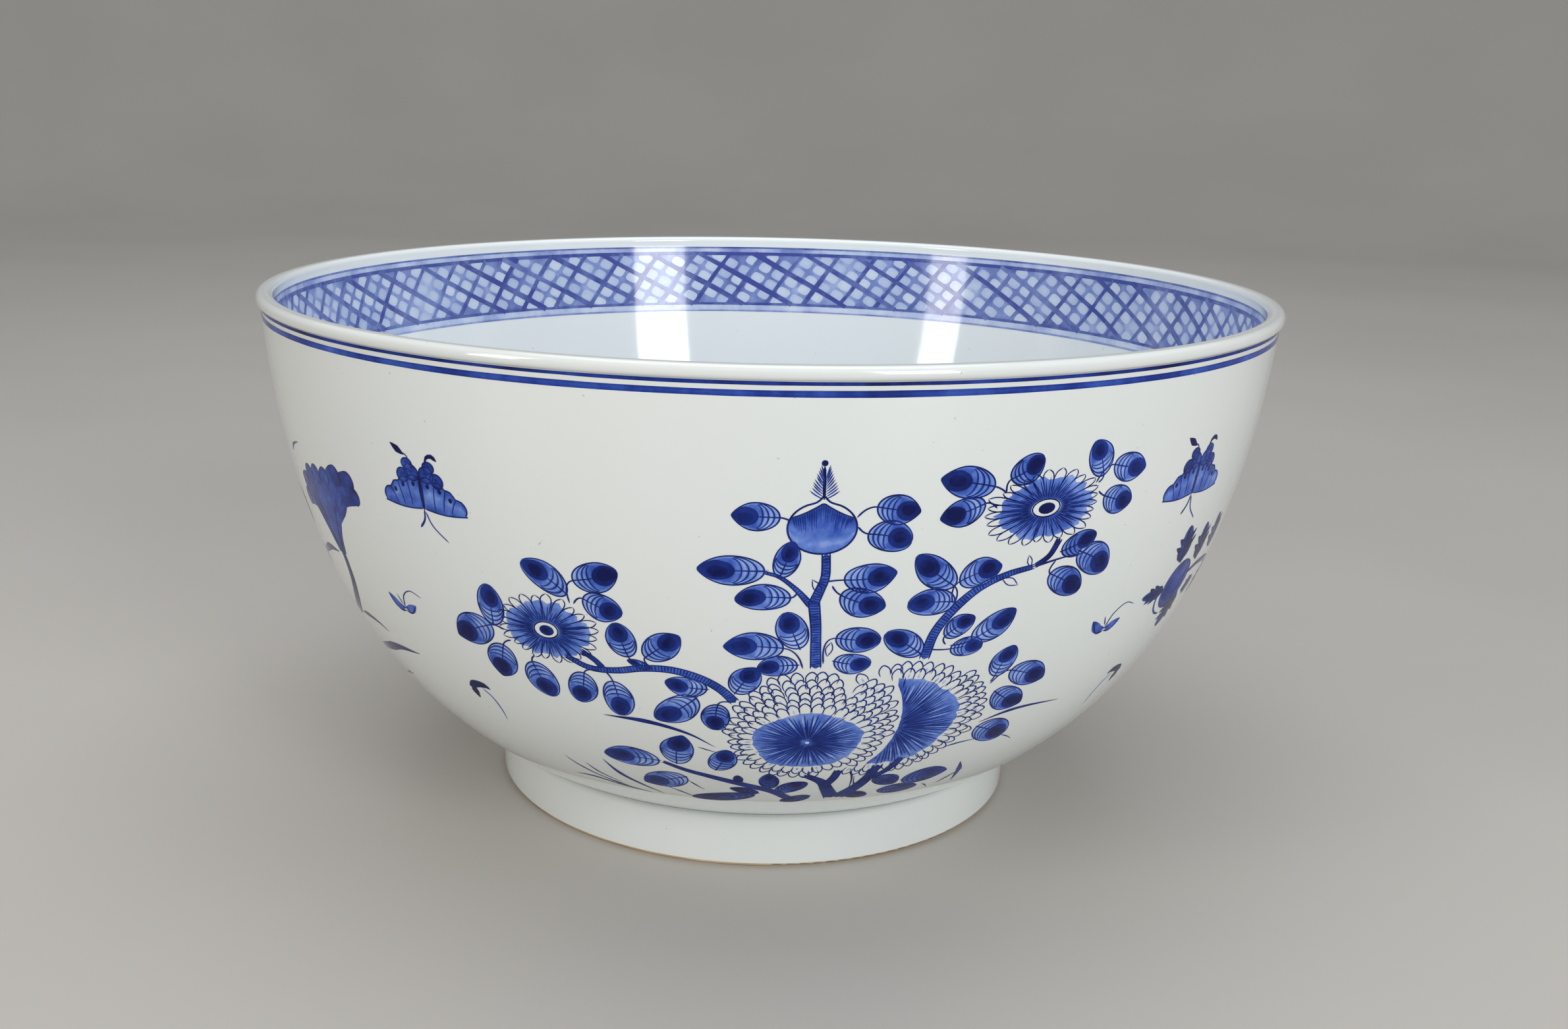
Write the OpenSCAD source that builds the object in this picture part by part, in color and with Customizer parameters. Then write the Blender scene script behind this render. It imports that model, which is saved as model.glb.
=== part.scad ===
// Large porcelain serving bowl: a thrown basin with a rolled lip, luted onto a turned foot ring,
// coated with glaze everywhere but the foot's resting edge, and banded in cobalt.
// Millimetres, +Z up, origin on the axis at the foot's resting face.

/* [Bowl] */
// Outside diameter over the lip
rim_d = 406; // [300:2:440]
// Overall height, foot to lip
bowl_h = 209; // [160:1:230]
// Wall thickness just under the lip
wall_rim_t = 4.8; // [4:0.1:6]
// Wall thickness where the wall turns into the floor
wall_base_t = 7.6; // [6:0.1:10]
// How high up the wall the belly turns upright, as a share of its height
belly = 0.5; // [0.44:0.01:0.58]

/* [Lip] */
// How far the lip stands out from the wall below it
lip_proud = 1.5; // [1:0.1:2]
// How far the lip stands in over the basin
lip_inset = 0.3; // [0.2:0.1:1]

/* [Foot] */
// Outside diameter of the foot at the seam with the basin
foot_top_d = 220; // [200:1:236]
// Outside diameter of the foot at its resting edge
foot_base_d = 219; // [198:1:234]
// Height of the foot, up to the seam on the outside
foot_h = 22; // [18:0.5:30]
// Thickness of the foot ring at its resting edge
foot_t = 8.6; // [7:0.2:12]
// Height of the bare, unglazed edge
bare_h = 1.6; // [1.6:0.2:4]

/* [Glaze] */
// Thickness of the glaze coat
glaze_t = 0.5; // [0.4:0.1:0.7]

/* [Cobalt bands] */
// Depth of each cobalt band in the glaze
band_t = 0.25; // [0.2:0.05:0.3]
// Width of the fine line under the lip
fine_line_w = 0.9; // [0.6:0.1:1.4]
// Width of the broad line below it
broad_line_w = 1.8; // [1.2:0.1:2.4]
// Width of the trellis border inside the rim
border_w = 34; // [20:0.5:44]

/* [Hidden] */
$fn = 96;
rim_r = rim_d / 2;
lip_w = wall_rim_t + lip_proud + lip_inset;
lip_roll = lip_proud + 0.85;
lip_h = 2 * lip_roll;
lip_c = rim_r - lip_w / 2;
lip_z = bowl_h - lip_roll;
lip_reach = (lip_w - lip_h) / 2;
wall_top_r = rim_r - lip_proud;
foot_top_r = foot_top_d / 2;
foot_base_r = foot_base_d / 2;
foot_in_r = foot_base_r - foot_t;
foot_mid_r = foot_base_r - foot_t / 2;
foot_edge_r = 1.4;
slip_t = 0.8;
slip_rise = 1.5;
underside_z = foot_h - 7;
floor_z = underside_z + wall_base_t;
// bands, measured down from the rim to their upper edges
fine_line_drop = lip_h + 0.05;
broad_line_drop = lip_h + 2.7;
border_drop = lip_h + 0.2;
// line along the seam, measured up from it
foot_line_w = 1.2;
foot_line_rise = 0.6;
wall_steps = 26;
floor_steps = 8;
over = 1;

// ---- curves, with X as the radius and Y as the height ----

// outer wall, from the seam up to the middle of the lip
wall_curve = [
    [foot_top_r, foot_h],
    [foot_top_r + 0.6 * (wall_top_r - foot_top_r), foot_h + 0.165 * (bowl_h - foot_h)],
    [0.97 * wall_top_r, foot_h + belly * (bowl_h - foot_h)],
    [wall_top_r, lip_z]
];

function cubic(p, t) = pow(1 - t, 3) * p[0] + 3 * t * pow(1 - t, 2) * p[1]
    + 3 * t * t * (1 - t) * p[2] + pow(t, 3) * p[3];
function heading(p, t) = let (
    d = pow(1 - t, 2) * (p[1] - p[0]) + 2 * t * (1 - t) * (p[2] - p[1]) + t * t * (p[3] - p[2])
) d / norm(d);

// a point at some depth in the wall, square to its outer surface
function in_wall(t, depth) = let (h = heading(wall_curve, t))
    cubic(wall_curve, t) + depth * [-h[1], h[0]];
function wall_t(t) = wall_rim_t + (wall_base_t - wall_rim_t) * pow(1 - t, 1.5);
function outer_wall(depth) = [
    for (i = [0 : wall_steps]) in_wall(i / wall_steps, depth)
];
function inner_wall(depth) = [
    for (i = [0 : wall_steps]) let (t = i / wall_steps) in_wall(t, wall_t(t) - depth)
];

// a nearly flat sheet from the axis out to a point of the seam, which it leaves out
function sheet(z, edge) = let (
    handles = [[0, z], [0.6 * edge[0], z], edge - 0.1 * foot_top_r * heading(wall_curve, 0), edge]
) [for (i = [0 : floor_steps - 1]) cubic(handles, i / floor_steps)];
function underside(depth) = sheet(underside_z + depth, in_wall(0, depth));
function floor_sheet(depth) = sheet(floor_z - depth, in_wall(0, wall_t(0) - depth));

function reversed(v) = [for (i = [len(v) - 1 : -1 : 0]) v[i]];

// ---- sections ----

// basin and lip, inset all round by the given depth
module basin_section(depth) {
    roll = lip_roll - depth;
    polygon(concat(
        underside(depth), outer_wall(depth), reversed(inner_wall(depth)), reversed(floor_sheet(depth))
    ));
    translate([lip_c - lip_reach, lip_z]) circle(r = roll);
    translate([lip_c + lip_reach, lip_z]) circle(r = roll);
    translate([lip_c - lip_reach, lip_z - roll]) square([2 * lip_reach, 2 * roll]);
}

// inner half of the wall, with the whole space over it
module inside_of_bowl() {
    polygon(concat(
        sheet((underside_z + floor_z) / 2, in_wall(0, wall_t(0) / 2)),
        [for (i = [0 : wall_steps]) let (t = i / wall_steps) in_wall(t, wall_t(t) / 2)],
        [[lip_c, lip_z], [lip_c, bowl_h + over], [0, bowl_h + over]]
    ));
}

// everything over the basin's underside, which is lowered by the given amount
module over_underside(lowered) {
    polygon(concat(
        underside(-lowered),
        [in_wall(0, -lowered), [rim_r, foot_h - lowered], [rim_r, bowl_h], [0, bowl_h]]
    ));
}

// foot ring as a blank that runs up into the basin, inset on both faces
module foot_blank(inset) {
    low_r = foot_base_r - inset;
    bore_r = foot_in_r + inset;
    polygon([
        [bore_r, foot_edge_r], [low_r, foot_edge_r], [foot_top_r - inset, foot_h],
        [foot_top_r - inset, foot_h + slip_rise], [bore_r, foot_h + slip_rise]
    ]);
    translate([bore_r + foot_edge_r, 0]) square([low_r - bore_r - 2 * foot_edge_r, 2 * foot_edge_r]);
    translate([bore_r + foot_edge_r, foot_edge_r]) circle(r = foot_edge_r);
    translate([low_r - foot_edge_r, foot_edge_r]) circle(r = foot_edge_r);
}

module foot_section() {
    difference() {
        foot_blank(glaze_t);
        over_underside(slip_t - glaze_t);
    }
}

module slip_section() {
    difference() {
        intersection() {
            foot_blank(glaze_t);
            over_underside(slip_t - glaze_t);
        }
        basin_section(glaze_t);
    }
}

// the whole coat, where it lies on fired clay
module coat_section() {
    difference() {
        union() {
            basin_section(0);
            foot_blank(0);
        }
        basin_section(glaze_t);
        foot_blank(glaze_t);
        square([rim_r, bare_h]);
    }
}

// a strip of the outer surface between two drops from the rim, at a depth in the glaze
module outer_strip(drop, width, depth) {
    intersection() {
        polygon(concat(outer_wall(-over), reversed(outer_wall(depth))));
        translate([foot_base_r, bowl_h - drop - width]) square([rim_r, width]);
    }
}

module fine_line_section() {
    intersection() {
        basin_section(0);
        outer_strip(fine_line_drop, fine_line_w, band_t);
    }
}

module broad_line_section() {
    intersection() {
        basin_section(0);
        outer_strip(broad_line_drop, broad_line_w, band_t);
    }
}

module foot_line_section() {
    intersection() {
        basin_section(0);
        outer_strip(bowl_h - foot_h - foot_line_rise - foot_line_w, foot_line_w, band_t);
    }
}

module border_section() {
    intersection() {
        polygon(concat(inner_wall(-over), reversed(inner_wall(band_t))));
        basin_section(0);
        translate([0, bowl_h - border_drop - border_w]) square([rim_r, border_w]);
    }
}

// ---- sub-parts ----

// thrown basin: floor, wall and rolled lip in one piece of fired clay
module bowl_wall() {
    color([0.90, 0.88, 0.82]) rotate_extrude() basin_section(glaze_t);
}

// turned ring that carries the basin, bare along its resting edge
module foot_ring() {
    color([0.80, 0.72, 0.55]) rotate_extrude() foot_section();
}

// liquid clay that luted the ring to the basin before firing
module slip_joint() {
    color([0.66, 0.60, 0.50]) rotate_extrude() slip_section();
}

// coat on the outside, from the crest of the lip down to the bare edge of the foot
module outer_glaze() {
    color([0.86, 0.90, 0.92]) rotate_extrude() difference() {
        coat_section();
        inside_of_bowl();
        square([foot_mid_r, foot_h + slip_rise]);
        fine_line_section();
        broad_line_section();
        foot_line_section();
    }
}

// coat in the basin, up to the crest of the lip
module inner_glaze() {
    color([0.80, 0.86, 0.90]) rotate_extrude() difference() {
        intersection() {
            coat_section();
            inside_of_bowl();
        }
        border_section();
    }
}

// coat on the underside, within the foot
module base_glaze() {
    color([0.74, 0.82, 0.86]) rotate_extrude() difference() {
        intersection() {
            coat_section();
            square([foot_mid_r, foot_h + slip_rise]);
        }
        inside_of_bowl();
    }
}

module fine_rim_line() {
    color([0.10, 0.13, 0.42]) rotate_extrude() fine_line_section();
}

module broad_rim_line() {
    color([0.16, 0.24, 0.60]) rotate_extrude() broad_line_section();
}

// band inside the rim that carries the painted trellis
module trellis_border() {
    color([0.42, 0.50, 0.80]) rotate_extrude() border_section();
}

module foot_line() {
    color([0.30, 0.36, 0.55]) rotate_extrude() foot_line_section();
}

bowl_wall();
foot_ring();
slip_joint();
outer_glaze();
inner_glaze();
base_glaze();
fine_rim_line();
broad_rim_line();
trellis_border();
foot_line();
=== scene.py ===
"""Looks of the large blue-and-white porcelain serving bowl, built around its CAD frame.

Metres, origin on the axis at the resting face, +Z up; the main spray faces -Y.
Places on the painted outside are given as (angle, s): degrees round from -Y towards +X, and
millimetres up the wall from the seam with the foot. Inside the rim s is the height, and the angle
is from +Y. Tones run from 0, the palest wash, to 1, nearly black cobalt.
"""
import math
import random
from bisect import bisect_right
import bpy
from mathutils import Matrix, Vector, noise


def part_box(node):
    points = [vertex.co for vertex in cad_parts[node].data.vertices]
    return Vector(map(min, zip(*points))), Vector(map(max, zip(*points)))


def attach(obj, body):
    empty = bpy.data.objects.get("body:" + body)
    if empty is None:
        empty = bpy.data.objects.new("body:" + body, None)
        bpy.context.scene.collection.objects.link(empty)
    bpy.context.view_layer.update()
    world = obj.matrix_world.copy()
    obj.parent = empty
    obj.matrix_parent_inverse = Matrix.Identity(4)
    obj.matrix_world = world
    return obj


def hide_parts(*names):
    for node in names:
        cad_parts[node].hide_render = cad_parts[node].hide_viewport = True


MM = 0.001
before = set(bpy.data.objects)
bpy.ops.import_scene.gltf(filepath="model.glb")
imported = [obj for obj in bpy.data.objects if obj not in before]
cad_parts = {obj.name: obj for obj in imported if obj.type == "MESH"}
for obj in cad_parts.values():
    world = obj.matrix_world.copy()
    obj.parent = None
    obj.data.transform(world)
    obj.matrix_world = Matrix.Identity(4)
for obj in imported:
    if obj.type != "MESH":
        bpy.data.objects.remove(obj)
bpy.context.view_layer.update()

# ---- sizes: from the frame, and where it doesn't give one, as in part.scad ----
OUTER_LOW, OUTER_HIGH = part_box("outer_glaze")
RIM_R = OUTER_HIGH.x
BOWL_H = OUTER_HIGH.z
BARE_H = OUTER_LOW.z
GLAZE_T = 0.5 * MM
FOOT_TOP_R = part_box("foot_ring")[1].x + GLAZE_T
FOOT_TAPER = 0.5 * MM
FOOT_T = 8.6 * MM
FOOT_BASE_R = FOOT_TOP_R - FOOT_TAPER
FOOT_IN_R = FOOT_BASE_R - FOOT_T
FOOT_LINE_RISE = 0.6 * MM
SEAM_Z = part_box("foot_line")[0].z - FOOT_LINE_RISE
UNDERSIDE_DROP = 7 * MM
UNDERSIDE_Z = SEAM_Z - UNDERSIDE_DROP
WALL_RIM_T, WALL_BASE_T = 4.8 * MM, 7.6 * MM
FLOOR_Z = UNDERSIDE_Z + WALL_BASE_T
LIP_PROUD, LIP_INSET = 1.5 * MM, 0.3 * MM
LIP_ROLL = LIP_PROUD + 0.85 * MM
LIP_W = WALL_RIM_T + LIP_PROUD + LIP_INSET
LIP_C = RIM_R - LIP_W / 2
LIP_REACH = LIP_W / 2 - LIP_ROLL
LIP_Z = BOWL_H - LIP_ROLL
WALL_TOP_R = RIM_R - LIP_PROUD
BELLY = 0.5
BORDER_LOW, BORDER_HIGH = (c.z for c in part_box("trellis_border"))
# how far the painted lines have run down in the glaze
BLEED = 0.25 * MM

# a piece has this many sides and the shown wall this many rows; nearer than this a point is on the axis
SEGMENTS = 384
WALL_STEPS = 72
ON_AXIS = 1e-7

WALL_CURVE = (
    (FOOT_TOP_R, SEAM_Z),
    (FOOT_TOP_R + 0.6 * (WALL_TOP_R - FOOT_TOP_R), SEAM_Z + 0.165 * (BOWL_H - SEAM_Z)),
    (0.97 * WALL_TOP_R, SEAM_Z + BELLY * (BOWL_H - SEAM_Z)),
    (WALL_TOP_R, LIP_Z),
)


# ---- curves of the section, as (radius, height) ----
def cubic(p, t):
    u = 1 - t
    return tuple(u**3 * a + 3 * t * u * u * b + 3 * t * t * u * c + t**3 * d for a, b, c, d in zip(*p))


def heading(p, t):
    u = 1 - t
    d = [u * u * (b - a) + 2 * t * u * (c - b) + t * t * (e - c) for a, b, c, e in zip(*p)]
    size = math.hypot(*d)
    return d[0] / size, d[1] / size


def in_wall(t, depth):
    """A point of the wall at that depth under its outer surface."""
    (r, z), (hr, hz) = cubic(WALL_CURVE, t), heading(WALL_CURVE, t)
    return r - depth * hz, z + depth * hr


def wall_thickness(t):
    return WALL_RIM_T + (WALL_BASE_T - WALL_RIM_T) * (1 - t) ** 1.5


def inner_wall(t, depth=0.0):
    return in_wall(t, wall_thickness(t) - depth)


def sheet(z, edge, steps):
    """A nearly flat sheet from the axis to a point by the seam, which it leaves out."""
    hr, hz = heading(WALL_CURVE, 0)
    reach = 0.1 * FOOT_TOP_R
    handles = ((0, z), (0.6 * edge[0], z), (edge[0] - reach * hr, edge[1] - reach * hz), edge)
    return [cubic(handles, i / steps) for i in range(steps)]


def arc(cr, cz, radius, a0, a1, steps):
    return [
        (cr + radius * math.cos(a), cz + radius * math.sin(a))
        for a in (math.radians(a0 + (a1 - a0) * i / steps) for i in range(steps + 1))
    ]


def corner(a, b, c, steps=6):
    """A curve from a to c drawn towards the corner b, where glaze has filled it."""
    return [
        tuple((1 - t) ** 2 * p + 2 * t * (1 - t) * q + t * t * s for p, q, s in zip(a, b, c))
        for t in (i / steps for i in range(steps + 1))
    ]


# ---- meshes ----
def finish_piece(name, mesh, slot, material, *nodes):
    piece = bpy.data.objects.new(name, mesh)
    bpy.context.scene.collection.objects.link(piece)
    mesh.materials.append(material)
    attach(piece, "root")
    if nodes:
        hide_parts(*nodes)
    return piece


def spin(section, sides, closed):
    """Points and faces of a section turned round the axis, from -Y towards +X."""
    verts, faces, rings = [], [], []
    for r, z in section:
        first = len(verts)
        if r < ON_AXIS:
            verts.append((0, 0, z))
            rings.append([first] * sides)
            continue
        for a in (math.tau * j / sides for j in range(sides)):
            verts.append((r * math.sin(a), -r * math.cos(a), z))
        rings.append(list(range(first, first + sides)))
    after_last = rings[:1] if closed else []
    for ring, after in zip(rings, rings[1:] + after_last):
        if ring[0] == ring[1] and after[0] == after[1]:
            continue
        for j in range(sides):
            k = (j + 1) % sides
            faces.append(tuple(dict.fromkeys((ring[j], after[j], after[k], ring[k]))))
    return verts, faces


def revolve(name, section, slot, material, *nodes):
    """A closed section turned round the axis. Its points run so that the solid lies on their right."""
    verts, faces = spin(section, SEGMENTS, closed=True)
    mesh = bpy.data.meshes.new(name)
    mesh.from_pydata(verts, [], faces)
    mesh.shade_smooth()
    mesh.set_sharp_from_angle(angle=math.radians(40))
    return finish_piece(name, mesh, slot, material, *nodes)


class Canvas:
    """A painted face of the wall: points by angle and by a coordinate in mm that rises along it."""

    def __init__(self, points, coords, back):
        self.points, self.coords = points, coords
        self.side = -1 if back else 1

    def spot(self, s):
        """Radius and height there, and how both change along the wall."""
        s = min(max(s, self.coords[0]), self.coords[-1])
        high = bisect_right(self.coords, s, 1, len(self.coords) - 1)
        low = high - 1
        t = (s - self.coords[low]) / (self.coords[high] - self.coords[low])
        (r0, z0), (r1, z1) = self.points[low], self.points[high]
        return r0 + t * (r1 - r0), z0 + t * (z1 - z0), r1 - r0, z1 - z0

    def radius(self, s):
        """Radius in mm."""
        return self.spot(s)[0] / MM

    def place(self, angle, s, lift):
        """The point that far over the wall, and the wall's normal there."""
        r, z, dr, dz = self.spot(s)
        size = math.hypot(dr, dz)
        nr, nz = self.side * dz / size, -self.side * dr / size
        a = math.radians(angle)
        r, z = r + nr * lift * MM, z + nz * lift * MM
        out = (math.sin(a), -self.side * math.cos(a))
        return (r * out[0], r * out[1], z), (nr * out[0], nr * out[1], nz)


def run_lengths(points):
    total, out = 0.0, [0.0]
    for (r0, z0), (r1, z1) in zip(points, points[1:]):
        total += math.hypot(r1 - r0, z1 - z0) / MM
        out.append(total)
    return out


FINE = 400
outer_points = [in_wall(i / FINE, 0) for i in range(FINE + 1)]
OUTSIDE = Canvas(outer_points, run_lengths(outer_points), back=False)
inner_points = [inner_wall(i / FINE) for i in range(FINE // 3, FINE + 1)]
INSIDE = Canvas(inner_points, [z / MM for r, z in inner_points], back=True)


# each shape of a film lies this many mm over the one before, starting again after so many shapes
LAYERS, LAYER_STEP = 40, 0.0006


class Film:
    """A film of cobalt under the glaze: sheets that follow the wall, with a tone at each point."""

    def __init__(self, canvas=OUTSIDE, turn=0.0):
        self.canvas, self.turn = canvas, turn
        self.verts, self.normals, self.tones, self.faces = [], [], [], []
        self.count = 0

    def vert(self, angle, s, lift, tone):
        co, normal = self.canvas.place(angle + self.turn, s, lift)
        self.verts.append(co)
        self.normals.append(normal)
        self.tones.append(min(max(tone, 0.0), 1.0))
        return len(self.verts) - 1

    def layer(self, lift):
        """The lift of the next shape: each lies a hair over the one before it."""
        self.count = (self.count + 1) % LAYERS
        return lift + LAYER_STEP * self.count

    def rows(self, rows, lift, closed=False):
        """Quads between rows of (angle, s, tone), where a row runs left to right and rows go up."""
        lift = self.layer(lift)
        grid = [[self.vert(a, s, lift, tone) for a, s, tone in row] for row in rows]
        for low, high in zip(grid, grid[1:]):
            pairs = list(zip(low, high))
            if closed:
                pairs.append(pairs[0])
            for (a, d), (b, c) in zip(pairs, pairs[1:]):
                self.faces.append((a, b, c, d))

    def fan(self, centre, rim, lift):
        """Triangles from a centre to a closed rim that runs anticlockwise, each (angle, s, tone)."""
        lift = self.layer(lift)
        middle = self.vert(*centre[:2], lift, centre[2])
        edge = [self.vert(a, s, lift, tone) for a, s, tone in rim]
        for a, b in zip(edge, edge[1:] + edge[:1]):
            self.faces.append((middle, a, b))

    def facing_out(self, face):
        a, b, c = (Vector(self.verts[i]) for i in face[:3])
        across = (b - a).cross(c - a) if len(face) == 3 else (c - a).cross(Vector(self.verts[face[3]]) - b)
        return across.dot(Vector(self.normals[face[0]])) > 0

    def finish(self, name, slot, material, *nodes):
        mesh = bpy.data.meshes.new(name)
        faces = [f if self.facing_out(f) else f[::-1] for f in self.faces]
        mesh.from_pydata(self.verts, [], faces)
        mesh.shade_smooth()
        tone = mesh.attributes.new("tone", "FLOAT", "POINT")
        tone.data.foreach_set("value", self.tones)
        mesh.normals_split_custom_set_from_vertices(self.normals)
        return finish_piece(name, mesh, slot, material, *nodes)


# ---- strokes of the brush ----
# how far each kind of stroke stands over the glaze, in mm, so that the later ones show
GROUND_LIFT, THROAT_LIFT, WASH_LIFT = 0.04, 0.045, 0.05
STEM_LIFT, SHADE_LIFT, BLADE_LIFT = 0.055, 0.06, 0.07
FINE_LIFT, LINE_LIFT, EDGE_LIFT, TOP_LIFT = 0.075, 0.08, 0.085, 0.09
SPOT_LIFT, BODY_LIFT, HEART_LIFT = 0.1, 0.11, 0.125


def with_normals(path):
    """Each point of a flat path, with the unit vector square to the path on its left."""
    out = []
    for before, (x, y), after in zip([path[0]] + path, path, path[1:] + [path[-1]]):
        size = math.dist(before, after) or 1.0
        out.append((x, y, -(after[1] - before[1]) / size, (after[0] - before[0]) / size))
    return out


def smooth(points, step):
    """Points along a smooth curve through the given ones, at most a step apart."""
    if len(points) == 2:
        points = [points[0], tuple((a + b) / 2 for a, b in zip(*points)), points[1]]
    out = []
    ends = [tuple(2 * a - b for a, b in zip(points[0], points[1]))]
    ends += list(points) + [tuple(2 * a - b for a, b in zip(points[-1], points[-2]))]
    for p, q, r, s in zip(ends, ends[1:], ends[2:], ends[3:]):
        count = max(2, math.ceil(math.dist(q[:2], r[:2]) / step))
        for i in range(count):
            t = i / count
            out.append(tuple(
                0.5 * (2 * b + (c - a) * t + (2 * a - 5 * b + 4 * c - d) * t * t
                       + (3 * b - a - 3 * c + d) * t**3)
                for a, b, c, d in zip(p, q, r, s)
            ))
    out.append(tuple(points[-1]))
    return out


def stroke(film, points, width, tone, lift=LINE_LIFT, taper=1.0, step=1.4):
    """A brush stroke through (angle, s) points. Width and tone are numbers or lists along it.
    Taper is how far from each end, in widths, it comes to its full width; 0 leaves square ends."""
    ref = film.canvas.radius(sum(p[1] for p in points) / len(points))
    flat = [(math.radians(a) * ref, s) for a, s in points]
    path = smooth(flat, step)
    runs = [0.0]
    for p, q in zip(path, path[1:]):
        runs.append(runs[-1] + math.dist(p, q))
    total = runs[-1] or 1.0
    left, right = [], []
    for (x, y, nx, ny), run in zip(with_normals(path), runs):
        t = run / total
        w = along(width, t)
        if taper:
            near = min(run, total - run) / (taper * w)
            w *= math.sqrt(min(1.0, 0.03 + near))
        scale = ref / film.canvas.radius(y)
        shade = along(tone, t)
        for side, row in ((0.5, left), (-0.5, right)):
            row.append((
                math.degrees(x / ref) + math.degrees(side * w * nx / ref) * scale,
                y + side * w * ny,
                shade,
            ))
    film.rows([right, left], lift)


def along(values, t):
    """A number, or the value at the share t of the way along a list of them."""
    if not isinstance(values, (list, tuple)):
        return values
    x = t * (len(values) - 1)
    i = min(int(x), len(values) - 2)
    return values[i] + (values[i + 1] - values[i]) * (x - i)


class Patch:
    """A local frame in mm on a canvas, turned so that its x axis points along the given angle."""

    def __init__(self, canvas, angle, s, slant=0.0):
        self.angle, self.s = angle, s
        self.ref = canvas.radius(s)
        self.c, self.n = math.cos(math.radians(slant)), math.sin(math.radians(slant))

    def at(self, x, y):
        """The (angle, s) of a point of the patch."""
        across = x * self.c - y * self.n
        return self.angle + math.degrees(across / self.ref), self.s + x * self.n + y * self.c

    def path(self, *points):
        return [self.at(x, y) for x, y in points]

    def round(self, x, y, rx, ry, a, slant=0.0):
        """A point on an oval about (x, y)."""
        px, py = rx * math.cos(a), ry * math.sin(a)
        c, n = math.cos(math.radians(slant)), math.sin(math.radians(slant))
        return self.at(x + px * c - py * n, y + px * n + py * c)


def between(canvas, base, tip):
    """The patch with its x axis from base to tip, and their distance in mm."""
    ref = canvas.radius((base[1] + tip[1]) / 2)
    dx, dy = math.radians(tip[0] - base[0]) * ref, tip[1] - base[1]
    patch = Patch(canvas, *base, math.degrees(math.atan2(dy, dx)))
    patch.ref = ref
    return patch, math.hypot(dx, dy)


def oval(film, patch, x, y, rx, ry, tone, lift=SHADE_LIFT, edge=None, sides=18, slant=0.0):
    """A filled oval, in a patch's own mm, paler or darker towards its edge."""
    outer = tone if edge is None else edge

    def ring(k, shade):
        turns = (math.tau * i / sides for i in range(sides))
        return [(*patch.round(x, y, k * rx, k * ry, a, slant), shade) for a in turns]

    inner = ring(1, outer)
    if max(rx, ry) > 4:
        inner = ring(0.6, (outer + tone) / 2)
        film.rows([ring(1, outer), inner], lift, closed=True)
    film.fan((*patch.at(x, y), tone), inner, lift)


def oval_line(film, patch, x, y, rx, ry, width, tone, a0=0, a1=360, slant=0.0):
    """An oval's outline, or the part of it between two angles."""
    turns = (math.radians(a0 + (a1 - a0) * i / 12) for i in range(13))
    points = [patch.round(x, y, rx, ry, a, slant) for a in turns]
    stroke(film, points, width, tone, taper=0 if a1 - a0 == 360 else 1, step=2)


# ---- motifs ----
# a leaf's bands from its edge in, as (share of its width, tone), and where its inked arches run
LEAF_BANDS = (
    (1.0, 0.5), (0.93, 0.18), (0.8, 0.32), (0.77, 0.56), (0.69, 0.2), (0.57, 0.34),
    (0.54, 0.58), (0.46, 0.24), (0.33, 0.38), (0.31, 0.6), (0.22, 0.4), (0.06, 0.5),
)
LEAF_ARCHES = (0.785, 0.555, 0.32)


def leaf(paint, base, tip, width, dark=0.0, stalk=None):
    """A leaf in arched bands that bulge to its base, with a dark lobe that runs out to its tip. Dark
    is added to its tones, and a stalk is the point where its stalk starts."""
    wash, ink, rng = paint
    patch, size = between(wash.canvas, base, tip)
    lean = rng.uniform(-0.09, 0.09) * width
    heart = 0.5 * size
    half = 0.52 * width
    point = rng.uniform(0.48, 0.85)

    def at(x, y):
        return patch.at(x, y + lean * math.sin(math.pi * x / size))

    def band(k, whole=True):
        """An arch round the lobe; k is 1 at the leaf's edge. Whole bands run on to the tip."""
        arch = [
            (heart - heart * k * math.cos(a), half * (0.78 + 0.22 * k) * math.sin(a))
            for a in (math.radians(-84 + 14 * i) for i in range(13))
        ]
        if not whole:
            return [at(*p) for p in arch]
        reach = half * (0.78 + 0.22 * k)
        side = [
            (heart + t * (size - heart), reach * (1 - t**1.9) ** point)
            for t in (0.2, 0.45, 0.7, 0.88, 0.97, 1.0)
        ]
        below = [(x, -y) for x, y in reversed(side)]
        return [at(*p) for p in below + arch + side]

    rows = []
    for k, tone in LEAF_BANDS:
        shift = rng.uniform(-0.05, 0.05)
        path = band(k)
        middle = (len(path) - 1) / 2
        rows.append([
            (a, s, tone + dark + shift + 0.12 * abs(i / middle - 1)) for i, (a, s) in enumerate(path)
        ])
    wash.rows(rows, WASH_LIFT)
    wash.fan((*at(heart, 0), 0.6 + dark), rows[-1], WASH_LIFT)
    stroke(ink, band(1.0), [0.3, 0.5, 0.55, 0.5, 0.3], 0.9)
    for k in LEAF_ARCHES:
        k += rng.uniform(-0.02, 0.02)
        stroke(ink, band(k, whole=False), [0.3, 0.5, 0.3], 0.86 + dark)
    lobe = []
    for i in range(20):
        a = math.tau * i / 20
        tuck = 1 - 0.3 * max(0.0, math.cos(a)) ** 2
        lobe.append((*at(size * (0.71 + 0.28 * math.cos(a)), 0.68 * half * math.sin(a) * tuck), 0.88))
    ink.fan((*at(0.72 * size, 0), 0.94), lobe, SPOT_LIFT)
    off = rng.uniform(-0.05, 0.05) * width
    oval(ink, patch, 0.7 * size, 0.8 * lean + off, 0.16 * size, 0.2 * width, 1.0, HEART_LIFT, 0.97, 14)
    path = [at(0.02 * size, 0), at(0.24 * size, 0), at(0.48 * size, 0)]
    if stalk:
        reach = between(wash.canvas, stalk, base)[1]
        path = corner(stalk, at(-0.45 * reach, 0), path[0], 4)[:-1] + path
    else:
        path.insert(0, at(-0.8, 0))
    stroke(ink, path, [0.65, 0.5, 0.4], 0.88, TOP_LIFT)


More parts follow.
